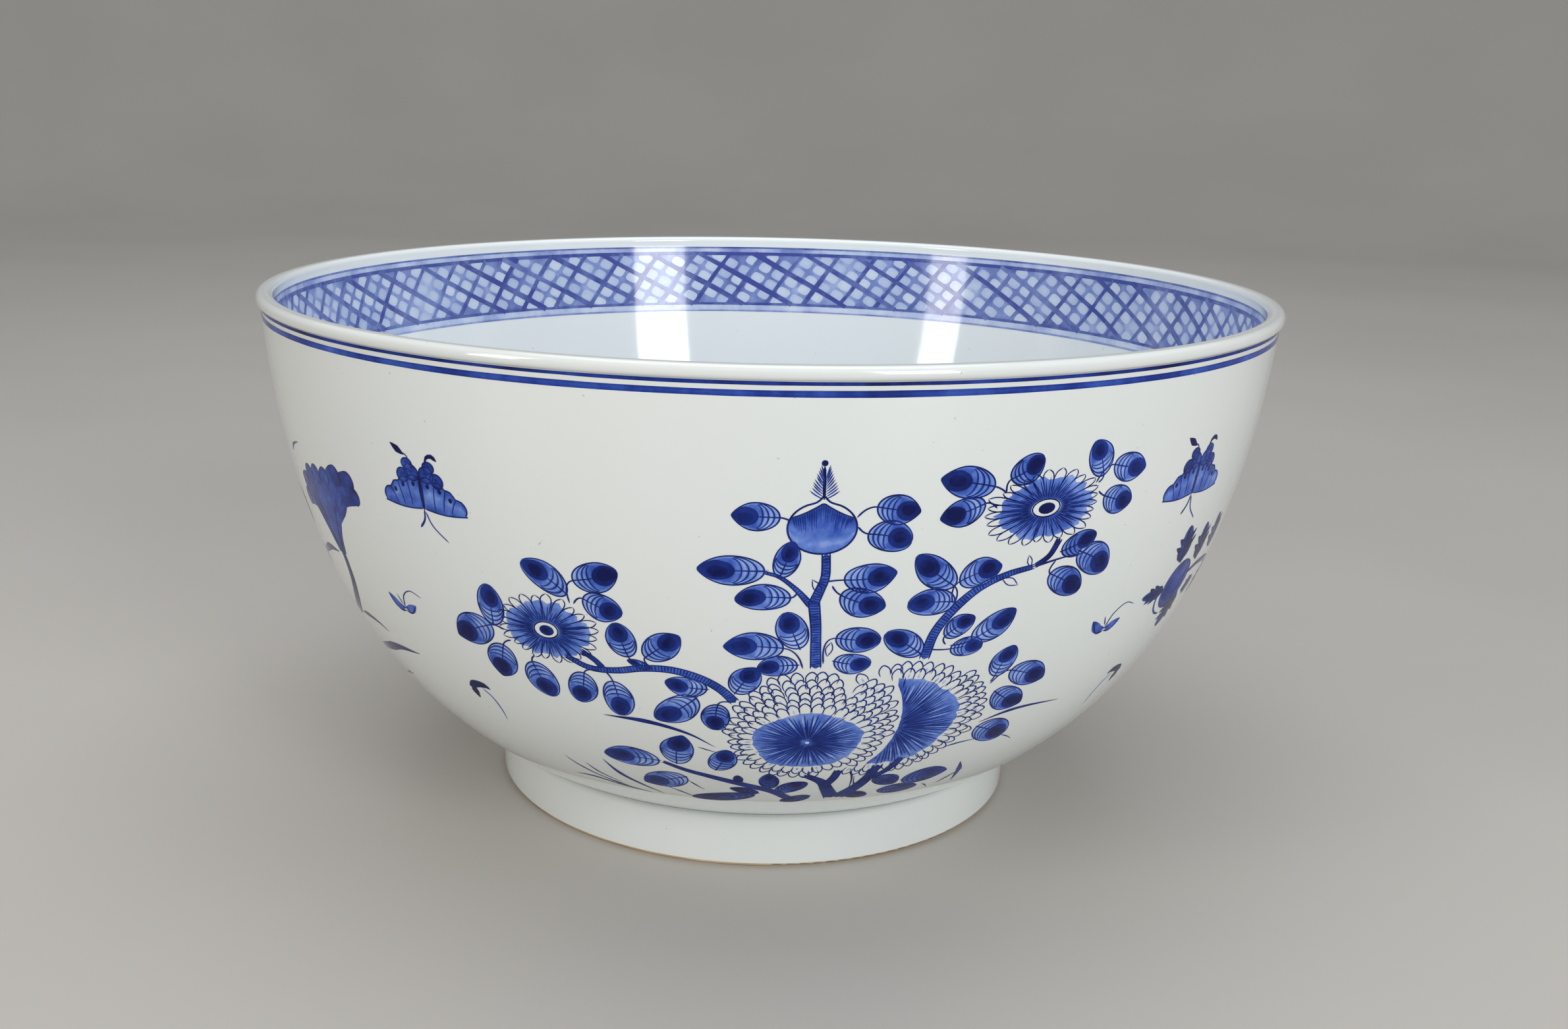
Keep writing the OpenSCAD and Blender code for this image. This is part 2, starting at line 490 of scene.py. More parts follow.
def leaves(paint, places):
    for place in places:
        leaf(paint, *place)


def stem(paint, points, width, tone=0.62):
    """A woody stem: washed, edged darker, and ringed with short strokes across it."""
    wash, ink, rng = paint
    stroke(wash, points, width, tone, STEM_LIFT, taper=0.4)
    ref = wash.canvas.radius(points[0][1])
    path = with_normals(smooth([(math.radians(a) * ref, s) for a, s in points], 1.05))
    last = len(path) - 1

    def beside(i, k, slip=0.0):
        """A point k mm to the left of the stem's middle."""
        x, y, nx, ny = path[i]
        return math.degrees((x + k * nx) / ref), y + k * ny + slip

    for i in range(1, last):
        half = 0.5 * along(width, i / last) * rng.uniform(0.85, 1.05)
        slip = rng.uniform(-0.3, 0.3)
        ends = [beside(i, k * half, k * slip) for k in (-1, 0, 1)]
        stroke(ink, ends, rng.uniform(0.4, 0.75), 0.85, FINE_LIFT, step=2)
    for side in (-1, 1):
        edge = [beside(i, side * 0.48 * along(width, i / last)) for i in range(last + 1)]
        stroke(ink, edge[::2] + edge[-1:], 0.5, 0.92, EDGE_LIFT)


def daisy(paint, centre, rx, ry, petals, slant=0.0):
    """A many-petalled flower seen nearly from the front, with a ringed eye."""
    wash, ink, rng = paint
    patch = Patch(wash.canvas, *centre, slant)

    def at(a, k):
        return patch.round(0, 0, k * rx, k * ry, a)

    ring_in, ring_out = 0.27, 0.88
    count = 2 * petals
    inner = [(*at(math.tau * i / count, ring_in), 0.66) for i in range(count)]
    middle = [(*at(math.tau * i / count, 0.5), 0.52) for i in range(count)]
    outer = [
        (*at(math.tau * i / count, ring_out * rng.uniform(0.88, 1.06)), 0.3) for i in range(count)
    ]
    wash.rows([outer, middle, inner], WASH_LIFT, closed=True)
    for i in range(petals):
        a = math.tau * (i + rng.uniform(-0.12, 0.12)) / petals
        w = math.pi / petals
        tip = rng.uniform(0.96, 1.13)
        shoulder = tip - 0.14
        for side in (-w, w):
            path = [at(a + 0.9 * side, 0.44), at(a + 0.98 * side, shoulder - 0.1),
                    at(a + 0.6 * side, tip - 0.08), at(a, tip)]
            stroke(ink, path, [0.28, 0.42, 0.4], 0.9, FINE_LIFT)
            stroke(ink, [at(a + 0.45 * side, 0.3), at(a + 0.45 * side, rng.uniform(0.55, 0.88))],
                   [0.55, 0.4, 0.2], [0.92, 0.82])
    oval_line(ink, patch, 0, 0, 0.25 * rx, 0.25 * ry, 0.5, 0.95)
    oval(ink, patch, 0.01 * rx, -0.01 * ry, 0.15 * rx, 0.16 * ry, 1.0, SPOT_LIFT, 0.9, 14)


# a bloom: rays that its heart is built on, most rows of petals, how far apart rows and petals are in
# mm, and the outline of a petal, in half widths across it and in lengths along it
RAYS, PETAL_ROWS = 72, 16
PETAL_PITCH, PETAL_WIDTH = 2.9, 3.5
PETAL = ((-0.9, 0.0), (-1.0, 0.5), (-0.55, 0.84), (0, 1), (0.55, 0.84), (1.0, 0.5), (0.9, 0.0))


def full_bloom(paint, centre, heart, within, clear, spokes):
    """A big bloom: a washed heart with spokes, and scale-like petals in rows round it. Within says
    where its petals may reach, and clear where nothing lies over it, both in mm from its centre."""
    wash, ink, rng = paint
    patch = Patch(wash.canvas, *centre)
    hx, hy = heart

    def spot(a, k, extra=0.0):
        return (k * hx + extra) * math.cos(a), (k * hy + extra) * math.sin(a)

    def start(a):
        """Where the ray at that angle comes out from under what lies over the bloom."""
        return next((k / 50 for k in range(2, 51) if clear(*spot(a, k / 50))), 1.0)

    rays = []
    for i in range(RAYS + 1):
        a = math.tau * i / RAYS
        rays.append((a, start(a), 1 + 0.03 * math.sin(5 * a) + rng.uniform(-0.025, 0.025) * (i < RAYS)))
    run = []
    for a, first, ragged in rays + [(0, 1.0, 1)]:
        if first < 0.97:
            run.append((a, first, ragged))
        elif run:
            if len(run) > 1:
                wash.rows([
                    [(*patch.at(*spot(b, k + (r - k) * t)), tone + rng.uniform(-0.05, 0.05))
                     for b, k, r in run]
                    for t, tone in ((0, 0.66), (0.4, 0.56), (0.8, 0.5), (1, 0.38))
                ], WASH_LIFT)
            run = []
    for i in range(spokes):
        a = math.tau * (i + rng.uniform(-0.3, 0.3)) / spokes
        first = start(a)
        if first < 0.8:
            first += rng.uniform(0.02, 0.12)
            end = rng.uniform(0.82, 1.06)
            stroke(ink, [patch.at(*spot(a, k)) for k in (first, (first + end) / 2, end)],
                   [0.3, 0.62, 0.28], [0.92, 0.8], FINE_LIFT)
            if i % 3 == 0 and first < 0.5:
                a += math.pi / spokes
                stroke(wash, [patch.at(*spot(a, k)) for k in (0.55, 0.75, 0.92)], [0.3, 0.8, 0.4], 0.28,
                       SHADE_LIFT)
    for row in range(PETAL_ROWS):
        out = 0.1 + PETAL_PITCH * row
        count = round(math.tau * ((hx + hy) / 2 + out + 2) / PETAL_WIDTH)
        for i in range(count):
            a = math.tau * (i + 0.5 * (row % 2)) / count + rng.uniform(-0.02, 0.02)
            w = math.pi / count
            reach = rng.uniform(4.3, 5.2)
            tip = spot(a, 1, out + reach)
            if not (within(*tip) and clear(*tip) and clear(*spot(a, 1, out + 1))):
                continue
            path = [patch.at(*spot(a + x * w, 1, out + y * reach)) for x, y in PETAL]
            stroke(ink, path, [0.3, 0.4, 0.55, 0.4, 0.3], 0.88, FINE_LIFT)
            if rng.random() < 0.2:
                stroke(wash, [patch.at(*spot(a, 1, out + y)) for y in (0.4, 2.4)], [0.9, 0.4], [0.2, 0.0],
                       WASH_LIFT)


def grass(paint, points, width, tone=0.9):
    """A blade that is widest a third of the way along and thins out to its tip."""
    stroke(paint[1], points, [0.15, width, 0.6 * width, 0.12], tone, FINE_LIFT)


def crown_spray(paint):
    """The stem in the middle, with the round bud."""
    crown_bud(paint)
    stem(paint, [(2.8, 139), (3.4, 145), (3.8, 150), (3.7, 158)], [3.2, 2.6, 2.4])
    stem(paint, [(3.7, 114), (3.5, 122), (3.3, 131), (2.9, 141)], [3.4, 3.0, 3.4])
    stem(paint, [(2.7, 139), (1.2, 145), (-0.4, 149.5), (-1.8, 151)], [2.2, 1.2, 0.8])
    leaves(paint, CROWN_LEAVES)
    curl(paint, (3.6, 143.5), (2.6, 148.8))
    curl(paint, (4.7, 119), (5.0, 125))


def right_spray(paint):
    """The tall stem on the right, with the wider flower."""
    daisy(paint, (24.7, 169.5), 21, 12.3, 27)
    stem(paint, [(14.9, 116), (15.4, 127), (17, 136), (19.2, 143), (22, 147), (24.8, 148.7)],
         [3.4, 3.0, 1.6])
    stem(paint, [(24.8, 148.7), (26.3, 152), (27.1, 158)], [1.6, 2.2], 0.9)
    stroke(paint[1], [(24.8, 148.7), (28, 150.5), (30.2, 151)], [1.0, 0.4], 0.85)
    leaves(paint, RIGHT_LEAVES)
    curl(paint, (21.4, 145.6), (23.4, 142.4))
    curl(paint, (24.4, 148.6), (23.9, 153.2))


def left_spray(paint):
    """The low stem on the left, with a tilted flower."""
    daisy(paint, (-24.2, 121.5), 18, 13.3, 24, 8)
    stem(paint, [(-4.4, 98), (-6, 104), (-8.2, 108.5), (-11, 111), (-14, 110.6), (-17, 108.3), (-20, 108),
                 (-22.6, 112)], [3.2, 2.8, 2.4, 2.0])
    stem(paint, [(-18.4, 108.5), (-19.3, 112), (-20.6, 115)], [2.0, 1.8], 0.85)
    leaves(paint, LEFT_LEAVES)


def bloom_pair(paint):
    """The near bloom, and the far one that it partly hides."""
    near, far = (3.9, 77.5), (13.4, 84.5)

    def in_near(x, y):
        main_lobe = ((x + 1) / 27.5) ** 2 + ((y - 6) / 30) ** 2 < 1
        right_lobe = ((x - 17) / 12.5) ** 2 + ((y - 8) / 25) ** 2 < 1
        return (main_lobe or right_lobe) and abs(x - 12) > 0.36 * (y - 21)

    def in_far(x, y):
        return (x / 34) ** 2 + ((y - 1) / 32) ** 2 < 1

    def beside(x, y):
        """Whether a spot of the far bloom is to the right of the near one."""
        across = x + math.radians(far[0] - near[0]) * OUTSIDE.radius(far[1])
        return across > 12.5 and not in_near(0.97 * across, 0.97 * (y + far[1] - near[1]))

    full_bloom(paint, near, (18.5, 15.5), in_near, lambda x, y: True, 66)
    full_bloom(paint, far, (23, 23), in_far, beside, 96)


def ground_cluster(paint):
    """Stalks, dark leaves and grass between the blooms and the foot."""
    for points, width in STALKS:
        stem(paint, points, width, 0.84)
    leaves(paint, GROUND_LEAVES)
    for points, width in GRASS:
        grass(paint, points, width)


# each leaf: where it springs, its tip, its width in mm, how much darker it is, and where its stalk starts
CROWN_LEAVES = (
    ((-0.6, 170), (-4.9, 170.5), 9, 0, (0.3, 169)),
    ((8, 173.5), (12, 171.5), 9.5, 0, (6.2, 170)),
    ((7.4, 164.5), (11.5, 161.5), 10, 0, (6.4, 167)),
    ((-0.4, 149.5), (0.7, 162), 7.5),
    ((-1.8, 151.5), (-8, 151.5), 10),
    ((0.7, 142), (-4.5, 141), 9, 0, (1.3, 144)),
    ((5.6, 148.5), (10.5, 150.8), 10, 0, (4.0, 148)),
    ((5.4, 143), (9.8, 138), 10, 0, (4.5, 146.5)),
    ((1.9, 122.5), (0.3, 136.5), 9.5),
    ((0.3, 122.5), (-5.6, 122.5), 10.5, 0, (2.4, 114)),
    ((5.4, 126.5), (9.9, 125), 9.5, 0, (4.4, 116)),
    ((5.5, 117), (9.3, 115.5), 8),
    ((1.8, 115.5), (-2.2, 113.5), 8),
    ((-4.4, 102.5), (-2.2, 114), 9.5),
)
RIGHT_LEAVES = (
    ((18.8, 178.5), (13.5, 182), 10, 0, (20.1, 176)),
    ((20.4, 180.5), (23.5, 187), 9, 0, (20.1, 176)),
    ((18.1, 173), (13.9, 168.5), 9, 0, (19.4, 171)),
    ((30.8, 178.5), (29.1, 190.5), 9.5, 0, (30.3, 176)),
    ((32, 181.5), (36.4, 178.8), 9.5, 0, (30, 176)),
    ((31.5, 171), (35.4, 167.5), 9.5, 0, (30.6, 173)),
    ((27.7, 153), (31.7, 157.5), 8.5),
    ((30, 152), (34.5, 143), 11),
    ((27, 145), (31.5, 136.5), 9.8, 0, (27.3, 150)),
    ((16.4, 144.5), (12.2, 156.3), 9.5, 0, (16.6, 136)),
    ((16.9, 146), (21.1, 150.5), 10, 0, (16.6, 138)),
    ((16.8, 138.5), (12, 138.5), 9.5),
    ((16.6, 125), (19.4, 132), 8, 0, (16.9, 121.5)),
    ((19.8, 122.5), (24, 133), 10, 0, (17.4, 121)),
    ((14.4, 118.5), (10.3, 127.8), 9),
    ((17.6, 119.5), (21.2, 119.5), 7.5, 0, (15.4, 120)),
    ((24.2, 104.5), (25.3, 117.5), 9.5, 0, (23.9, 102)),
    ((26.2, 106), (31.6, 99), 10.5, 0, (24, 101)),
    ((25.2, 96.5), (30, 87.5), 10.5),
    ((25.3, 78), (30.6, 69), 12),
)
LEFT_LEAVES = (
    ((-20.2, 143), (-15.6, 148), 10.5, 0, (-20.9, 134)),
    ((-19.4, 136.5), (-15.5, 132), 10, 0, (-20.5, 134)),
    ((-21.1, 137.5), (-25.6, 147.5), 10),
    ((-15.4, 115), (-16.4, 128.5), 9.5, 0, (-14, 112)),
    ((-13.6, 115.5), (-9.9, 125.5), 10, 0, (-13, 111)),
    ((-13.2, 111), (-15.6, 113.5), 3),
    ((-7.4, 103.5), (-11.8, 105.5), 8.5),
    ((-8.6, 99), (-13.4, 86.8), 11),
    ((-6.3, 96.5), (-6.7, 83.5), 9, 0, (-4.6, 98)),
    ((-17.6, 103), (-17.4, 86.5), 10, 0, (-18.2, 107)),
    ((-20.8, 105), (-22.3, 90.5), 10, 0, (-19, 107)),
    ((-27, 106), (-25.6, 90.5), 11.5, 0, (-26.5, 109)),
    ((-30.3, 111), (-32, 95.5), 11.5, 0, (-29, 114)),
    ((-31.2, 119), (-36.6, 110.5), 12.5, 0, (-29.6, 118)),
    ((-30.8, 119.5), (-30.3, 136), 10),
)
GROUND_LEAVES = (
    ((-12, 61), (-10.6, 79), 11),
    ((-14.3, 61.5), (-21.7, 61), 12),
    ((-11.3, 51), (-17.7, 42), 12),
    ((-7, 58.5), (-5.3, 72), 9),
    ((-2, 38), (-11.3, 31.5), 8, 0.5),
    ((-1.5, 40), (-5.4, 44), 5, 0.5),
    ((1.2, 41.5), (5, 50), 7.5, 0.3),
    ((0.1, 45), (-0.2, 57), 6.5, 0.4),
    ((-4.2, 49), (-4.3, 55), 3, 0.3),
    ((19, 46), (25.7, 48.5), 12, 0.45),
    ((16.4, 38), (22.8, 36.5), 9, 0.5),
    ((14.4, 51), (18.2, 43.5), 8, 0.4),
    ((6, 37), (2, 31), 6, 0.5),
    ((11, 38), (15, 33), 6, 0.5),
)
# each stalk and blade near the foot: its points, and its width in mm
STALKS = (
    (((3, 35), (0.5, 42), (-3, 47), (-7.5, 52.5), (-11, 56.5), (-13.8, 61)), [3.4, 3.0, 1.4]),
    (((10.2, 34), (12.0, 42), (13.1, 50), (13.8, 61)), [5.6, 4.2, 2.6]),
    (((13.2, 50), (15.3, 56), (16.6, 65)), [2.6, 2.4]),
    (((9.6, 34), (8.2, 43), (7.0, 50), (4.4, 56)), [5.4, 4.0, 2.2]),
    (((7.6, 47), (8.4, 53), (8.7, 59)), [3.4, 2.4]),
)
GRASS = (
    (((-19.8, 85.5), (-14.5, 84.8), (-10, 80.5), (-6.8, 73.5)), 2.2),
    (((-29, 52), (-27.6, 46), (-25, 39.5), (-21, 34)), 1.0),
    (((-30, 36), (-26.5, 37), (-23, 34), (-19.8, 31)), 1.4),
    (((-26, 50), (-24.6, 43), (-21.6, 36)), 0.9),
    (((-24.5, 38), (-21.5, 33.5), (-17.6, 30)), 1.2),
    (((-17, 49), (-15.2, 42), (-12.6, 36)), 0.9),
    (((-22.6, 56), (-21, 46), (-18.4, 38), (-15.6, 31)), 2.0),
    (((-14, 39), (-12.2, 35), (-10.8, 31)), 0.9),
    (((-11, 48), (-10, 44), (-9, 40.5)), 0.7),
    (((-9, 73), (-7.8, 71.5), (-6.5, 70)), 0.6),
    (((25, 80.5), (28.4, 83.8), (32, 84.6), (37.3, 83)), 1.6),
    (((21.8, 68), (24, 69.5), (26.4, 70)), 0.9),
    (((30.4, 69), (32, 66.5), (33.4, 63.5)), 0.6),
    (((26.9, 54), (28.1, 47), (28.8, 41), (29.6, 34)), 2.2),
    (((26.5, 35), (27.6, 41), (29, 47)), 1.1),
    (((23.5, 38), (24.6, 35.5), (25.4, 32.5)), 0.7),
    (((10.2, 60), (11, 52), (11.4, 42)), 0.8),
    (((12.6, 42), (11.6, 48), (11.2, 54)), 0.7),
)


def curl(paint, start, tip):
    """A little unwashed leaf, drawn as a loop on a short stalk."""
    patch, size = between(paint[1].canvas, start, tip)
    for side in (0.2, -0.17):
        stroke(paint[1], patch.path((0, 0), (0.5 * size, side * size), (size, 0)), 0.38, 0.86)


def crown_bud(paint):
    """The round bud on the middle stem, with a pale collar and a feathered crest."""
    wash, ink, rng = paint
    patch = Patch(wash.canvas, 3.2, 166.5)
    rx, ry = 10.6, 8.7

    def brow(u):
        """Height of the filled part's upper edge, which rises to a point in the middle."""
        return ry * min(math.sqrt(1 - u * u), 0.4 + 0.56 * (1 - abs(u)) ** 1.5)

    rows = []
    for t, tone in ((0.0, 0.5), (0.2, 0.3), (0.38, 0.5), (0.65, 0.56), (1.0, 0.7)):
        row = []
        for i in range(33):
            u = -math.cos(math.pi * i / 32)
            low = -ry * math.sqrt(max(0.0, 1 - u * u))
            slope = 0.06 * ry * u if 0 < t < 0.5 else 0.0
            row.append((*patch.at(rx * u, low + (brow(u) - low) * t + slope * (1 - u * u)), tone))
        rows.append(row)
    wash.rows(rows, WASH_LIFT)
    for i in range(27):
        u = -0.86 + 1.72 * i / 26
        drop = rng.uniform(3.5, 8) * (1 - 0.5 * u * u)
        x, top = rx * u, brow(u) - 0.2
        points = patch.path((x, top), (0.94 * x, top - drop / 2), (0.88 * x, top - drop))
        stroke(ink, points, [0.7, 0.45, 0.15], [0.88, 0.8, 0.7], FINE_LIFT)
    for side in (-1, 1):
        half = [(side * rx * u, brow(u)) for u in (0.9, 0.7, 0.45, 0.2, 0.05, 0)]
        stroke(ink, patch.path(*half), [0.3, 0.6], 0.9)
    gap = 14
    rim = arc(0, 0, 1, 90 + gap, 450 - gap, 24)
    rim = [(0, 11), (-1.2, 9.4)] + [(rx * x, ry * y) for x, y in rim] + [(1.2, 9.4), (0, 11)]
    stroke(ink, patch.path(*rim), 0.62, 0.92)
    for side in (-1, 1):
        for i in range(10):
            y, rise = 9.6 + 0.78 * i, 2.9 + 0.14 * i
            reach = (4.4 - 0.33 * i) * rng.uniform(0.92, 1.05)
            points = patch.path(
                (side * 0.25, y), (side * 0.6 * reach, y + 0.5 * rise), (side * reach, y + rise)
            )
            stroke(ink, points, [0.3, 0.4, 0.5, 0.2], [0.6, 0.85], FINE_LIFT)
    stroke(ink, patch.path((0, 9.5), (-0.2, 14), (-0.4, 20.5)), [0.8, 1.1, 0.8], 0.97, TOP_LIFT)
    oval(ink, patch, -0.4, 21.3, 1.0, 1.0, 1.0, SPOT_LIFT, 0.98, 12)


# a butterfly's right half, in mm: the scalloped edge of its hind wing, and the ovals of its fore
# wing as (x, y, half width, half height, slant)
WING_CREST = (
    (0.3, 4.6), (3.2, 5.6), (5.6, 4.6), (6.4, 4.2), (8.6, 4.3), (10.4, 2.6), (11.0, 2.3),
    (13.0, 1.9), (14.6, 0.0), (15.1, -0.4), (17.2, -0.9), (18.7, -2.6), (18.9, -4.4), (18.0, -5.9),
)
FORE_WING = ((3.4, 6.4, 3.3, 2.9, 10), (7.8, 4.9, 2.8, 2.5, -20), (4.9, 9.2, 2.5, 2.0, 0))


def butterfly(paint, centre):
    """Seen from above with its wings spread: ribbed hind wings below two scalloped fore wings."""
    wash, ink, rng = paint
    patch = Patch(wash.canvas, *centre)
    for side in (-1, 1):
        low = [(side * x, -5.9 - 0.9 * math.sin(math.pi * x / 19)) for x, y in WING_CREST]
        middle = [(side * (0.5 + 0.92 * x), 0.45 * y - 3.0) for x, y in WING_CREST]
        high = [(side * x, y) for x, y in WING_CREST]
        wash.rows([
            [(*patch.at(*p), tone + rng.uniform(-0.08, 0.08)) for p in row]
            for row, tone in ((low, 0.6), (middle, 0.4), (high, 0.66))
        ], WASH_LIFT)
        stroke(ink, patch.path(*high), 0.55, 0.92)
        stroke(ink, patch.path(*low), 0.5, 0.92)
        for x, y in WING_CREST[3:10:3]:
            rib = ((side * x, y), (side * (0.93 * x - 0.4), 0.4 * y - 2.6), (side * 0.82 * x, -5.9))
            stroke(ink, patch.path(*rib), [0.5, 0.35], 0.88)
        for x, y in ((3.3, 3.0), (8.4, 2.0), (12.6, -0.4)):
            oval(ink, patch, side * x, y - 0.6, 0.75, 0.9, 1.0, SPOT_LIFT, sides=10)
        for x, y, rx, ry, slant in FORE_WING:
            oval(wash, patch, side * x, y, rx, ry, 0.6, SHADE_LIFT, 0.8, 16, side * slant)
            oval_line(ink, patch, side * x, y, rx, ry, 0.45, 0.92, slant=side * slant)
            oval(ink, patch, side * x, y + 0.4, 0.45 * rx, 0.35 * ry, 0.9, SPOT_LIFT, 0.75, sides=10)
    stroke(ink, patch.path((0, -6.5), (0, 0), (0, 6)), [0.8, 1.9, 0.8], 0.97, BODY_LIFT)
    stroke(ink, patch.path((-3.6, 10), (-4.4, 12), (-6.5, 13)), 0.45, 0.88)
    stroke(ink, patch.path((-5.6, 12.2), (-8.6, 13.8), (-11.6, 15.6)), [0.8, 2.7, 0.6], 1.0)
    stroke(ink, patch.path((3.6, 10), (4.6, 12.6), (7, 13.4), (9, 12)), [0.4, 1.4, 1.8], 1.0)
    stroke(ink, patch.path((0, -6), (-0.8, -10), (-3.6, -13.4)), [0.6, 0.9], 0.92)
    stroke(ink, patch.path((0.4, -7), (2.6, -12), (8.5, -17)), [0.6, 0.4], 0.8)


def windblown(paint, centre, mirrored, bend):
    """A fallen petal or small insect: a dark two-lobed stroke with a long thin tail."""
    wash, ink = paint[:2]
    patch = Patch(wash.canvas, *centre)
    m = -1 if mirrored else 1

    def path(*points):
        return patch.path(*((m * x, y) for x, y in points))

    if bend:
        stroke(ink, path((-6, 1.5), (-2, 4), (2.4, 4.4), (4.5, 3)), [2.6, 3.8, 3.2, 1.4], 1.0)
        stroke(ink, path((-3.5, 3), (-4.4, -0.5), (-4, -4)), [2.6, 3.4, 1.6], 1.0)
        stroke(ink, path((0.5, 2.5), (3.6, -1.5), (4.8, -8), (4.2, -14)), [0.5, 0.6, 0.2], 0.5)
        return
    for side, reach, rise in ((-1, 8.0, 3.0), (1, 7.2, 1.2)):
        end = (side * reach, rise)
        stroke(wash, path((0, -1.4), (side * 0.5 * reach, -1.0), end), [2.2, 4.0, 2.4], [0.85, 0.5, 0.7])
        stroke(ink, path((0, -2.6), (side * 0.5 * reach, -2.8), end), [0.9, 0.5], 0.92)
    stroke(ink, path((0, -1), (2, 4.4), (7, 7.6), (12.5, 6.0)), [0.6, 0.45, 0.25], 0.85)
    stroke(ink, path((-0.6, 0), (-2.4, 4)), [0.6, 0.3], 0.85)


# the trumpet flower: left and right edge of its throat, from its stem up, the middle of its heart,
# its lobes as (angle, s, width), its blades as (points, width), and the leaves beside it
THROAT_EDGES = (
    ((-57.8, 127), (-58.9, 134.5), (-60.4, 141), (-62.4, 147), (-63.6, 154)),
    ((-55.9, 127), (-55.0, 135), (-53.8, 141.5), (-51.6, 147), (-49.4, 157)),
)
TRUMPET_HEART = (-57.2, 142)
TRUMPET_LOBES = (
    (-64.4, 144.5, 7.5), (-63.4, 152.5, 9), (-60.8, 159, 9), (-57.6, 162, 9),
    (-54.2, 162, 8.5), (-51.0, 164, 9), (-48.1, 163, 8.5), (-47.5, 157, 7.5),
)
TRUMPET_BLADES = (
    (((-58.4, 126), (-62.5, 124.5), (-67, 119), (-72.5, 112.5)), 3.4),
    (((-62.5, 95), (-59, 97), (-55.6, 96.8), (-53.4, 94.6)), 2.2),
    (((-47.2, 90.8), (-53, 88), (-60, 80.5), (-73, 66)), 4.2),
    (((-66, 161), (-64.4, 165), (-61.6, 167.6)), 1.2),
    (((-56, 70), (-60, 66), (-64, 60)), 1.0),
)
TRUMPET_LEAVES = (
    ((-70, 112), (-78, 118), 12, 0.1), ((-73, 100), (-82, 99), 12, 0.1),
    ((-70, 128), (-74, 141), 11, 0.1), ((-74, 86), (-83, 80), 12, 0.1),
    ((-78, 128), (-84, 137), 11, 0.1),
)


def trumpet_lobe(paint, tip, width):
    """One lobe of the trumpet's rim: a broad stroke from its heart, with a round outlined end."""
    wash, ink = paint[:2]
    a, s = (0.45 * h + 0.55 * e for h, e in zip(TRUMPET_HEART, tip))
    middle = (a, s + 3)
    stroke(wash, [TRUMPET_HEART, middle, tip], [3, 0.95 * width, 1.05 * width, 0.9 * width],
           [0.8, 0.7, 0.86], WASH_LIFT, taper=0.5)
    patch, size = between(wash.canvas, middle, tip)
    rx, ry = 0.42 * width, 0.44 * width
    oval(wash, patch, size - rx, 0, rx, ry, 0.7, SHADE_LIFT, 0.84, 16)
    oval_line(ink, patch, size - rx, 0, rx, ry, 0.5, 0.92, -100, 100)
    stroke(ink, patch.path((0.2 * size, 0), (size, 0.1 * width)), [0.5, 0.35], [0.85, 0.75])


def trumpet_branch(paint):
    """The side branch on the left, with one wide trumpet flower and long blades."""
    wash, ink = paint[:2]
    for *tip, width in TRUMPET_LOBES:
        trumpet_lobe(paint, tip, width)
    rows = []
    for t in (i / 14 for i in range(15)):
        left, right = (tuple(along(c, t) for c in zip(*edge)) for edge in THROAT_EDGES)
        rows.append([
            (*(a + (b - a) * k for a, b in zip(left, right)), 0.92 - 0.12 * t - 0.1 * math.sin(math.pi * k))
            for k in (j / 10 for j in range(11))
        ])
    wash.rows(rows, THROAT_LIFT)
    for low, middle, high in ((-57.6, -59.2, -61.4), (-57.2, -58.2, -59.4), (-56.2, -55.6, -54.2)):
        stroke(ink, [(low, 130), (middle, 138), (high, 148)], [0.9, 0.6, 0.3], [1.0, 0.8])
    stroke(ink, [(-56.8, 131), (-56.9, 122), (-58.2, 112), (-61.5, 101), (-66, 92), (-73, 84.5)],
           [3.2, 3.6, 4.2, 4.2, 3.6, 2.6], 1.0, BLADE_LIFT)
    for points, width in TRUMPET_BLADES:
        grass(paint, points, width, 0.95)
    leaves(paint, TRUMPET_LEAVES)
    stem(paint, [(-72, 84.5), (-78, 86), (-84, 92), (-87, 101)], [3.4, 3.0, 2.2], 0.8)


def jagged_leaf(paint, base, tip, width):
    """A dark leaf with three pointed lobes on each side."""
    wash, ink = paint[:2]
    patch, size = between(wash.canvas, base, tip)
    oval(wash, patch, 0.5 * size, 0, 0.48 * size, 0.28 * width, 0.85, WASH_LIFT, 0.75)
    for side in (-width, width):
        for t, reach in ((0.25, 0.36), (0.45, 0.5), (0.65, 0.42)):
            lobe = (((t - 0.16) * size, 0.06 * side), (t * size, 0.6 * reach * side),
                    ((t + 0.12) * size, reach * side))
            stroke(ink, patch.path(*lobe), [2.4, 2.8, 0.5], [0.9, 0.98])
    stroke(ink, patch.path((0, 0), (0.5 * size, 0), (size, 0)), [1.0, 2.4, 0.4], 1.0, TOP_LIFT)


# leaves on the round bud's branch, jagged ones as (base, tip, width)
JAGGED_LEAVES = (
    ((50, 134), (49, 150), 14), ((55.4, 131), (54.2, 147.5), 13), ((60.4, 132), (58.6, 148), 13),
    ((48.7, 123.6), (43.8, 124), 8), ((54.2, 119), (53.2, 103), 15), ((59, 120), (56, 117), 9),
    ((66, 120), (62, 110), 12),
)
BUD_LEAVES = (
    ((72, 112), (77, 122), 11, 0.1), ((76, 103), (84, 106), 11, 0.1), ((70, 106), (68, 92), 11, 0.1),
    ((77, 97), (85, 90), 12, 0.1),
)


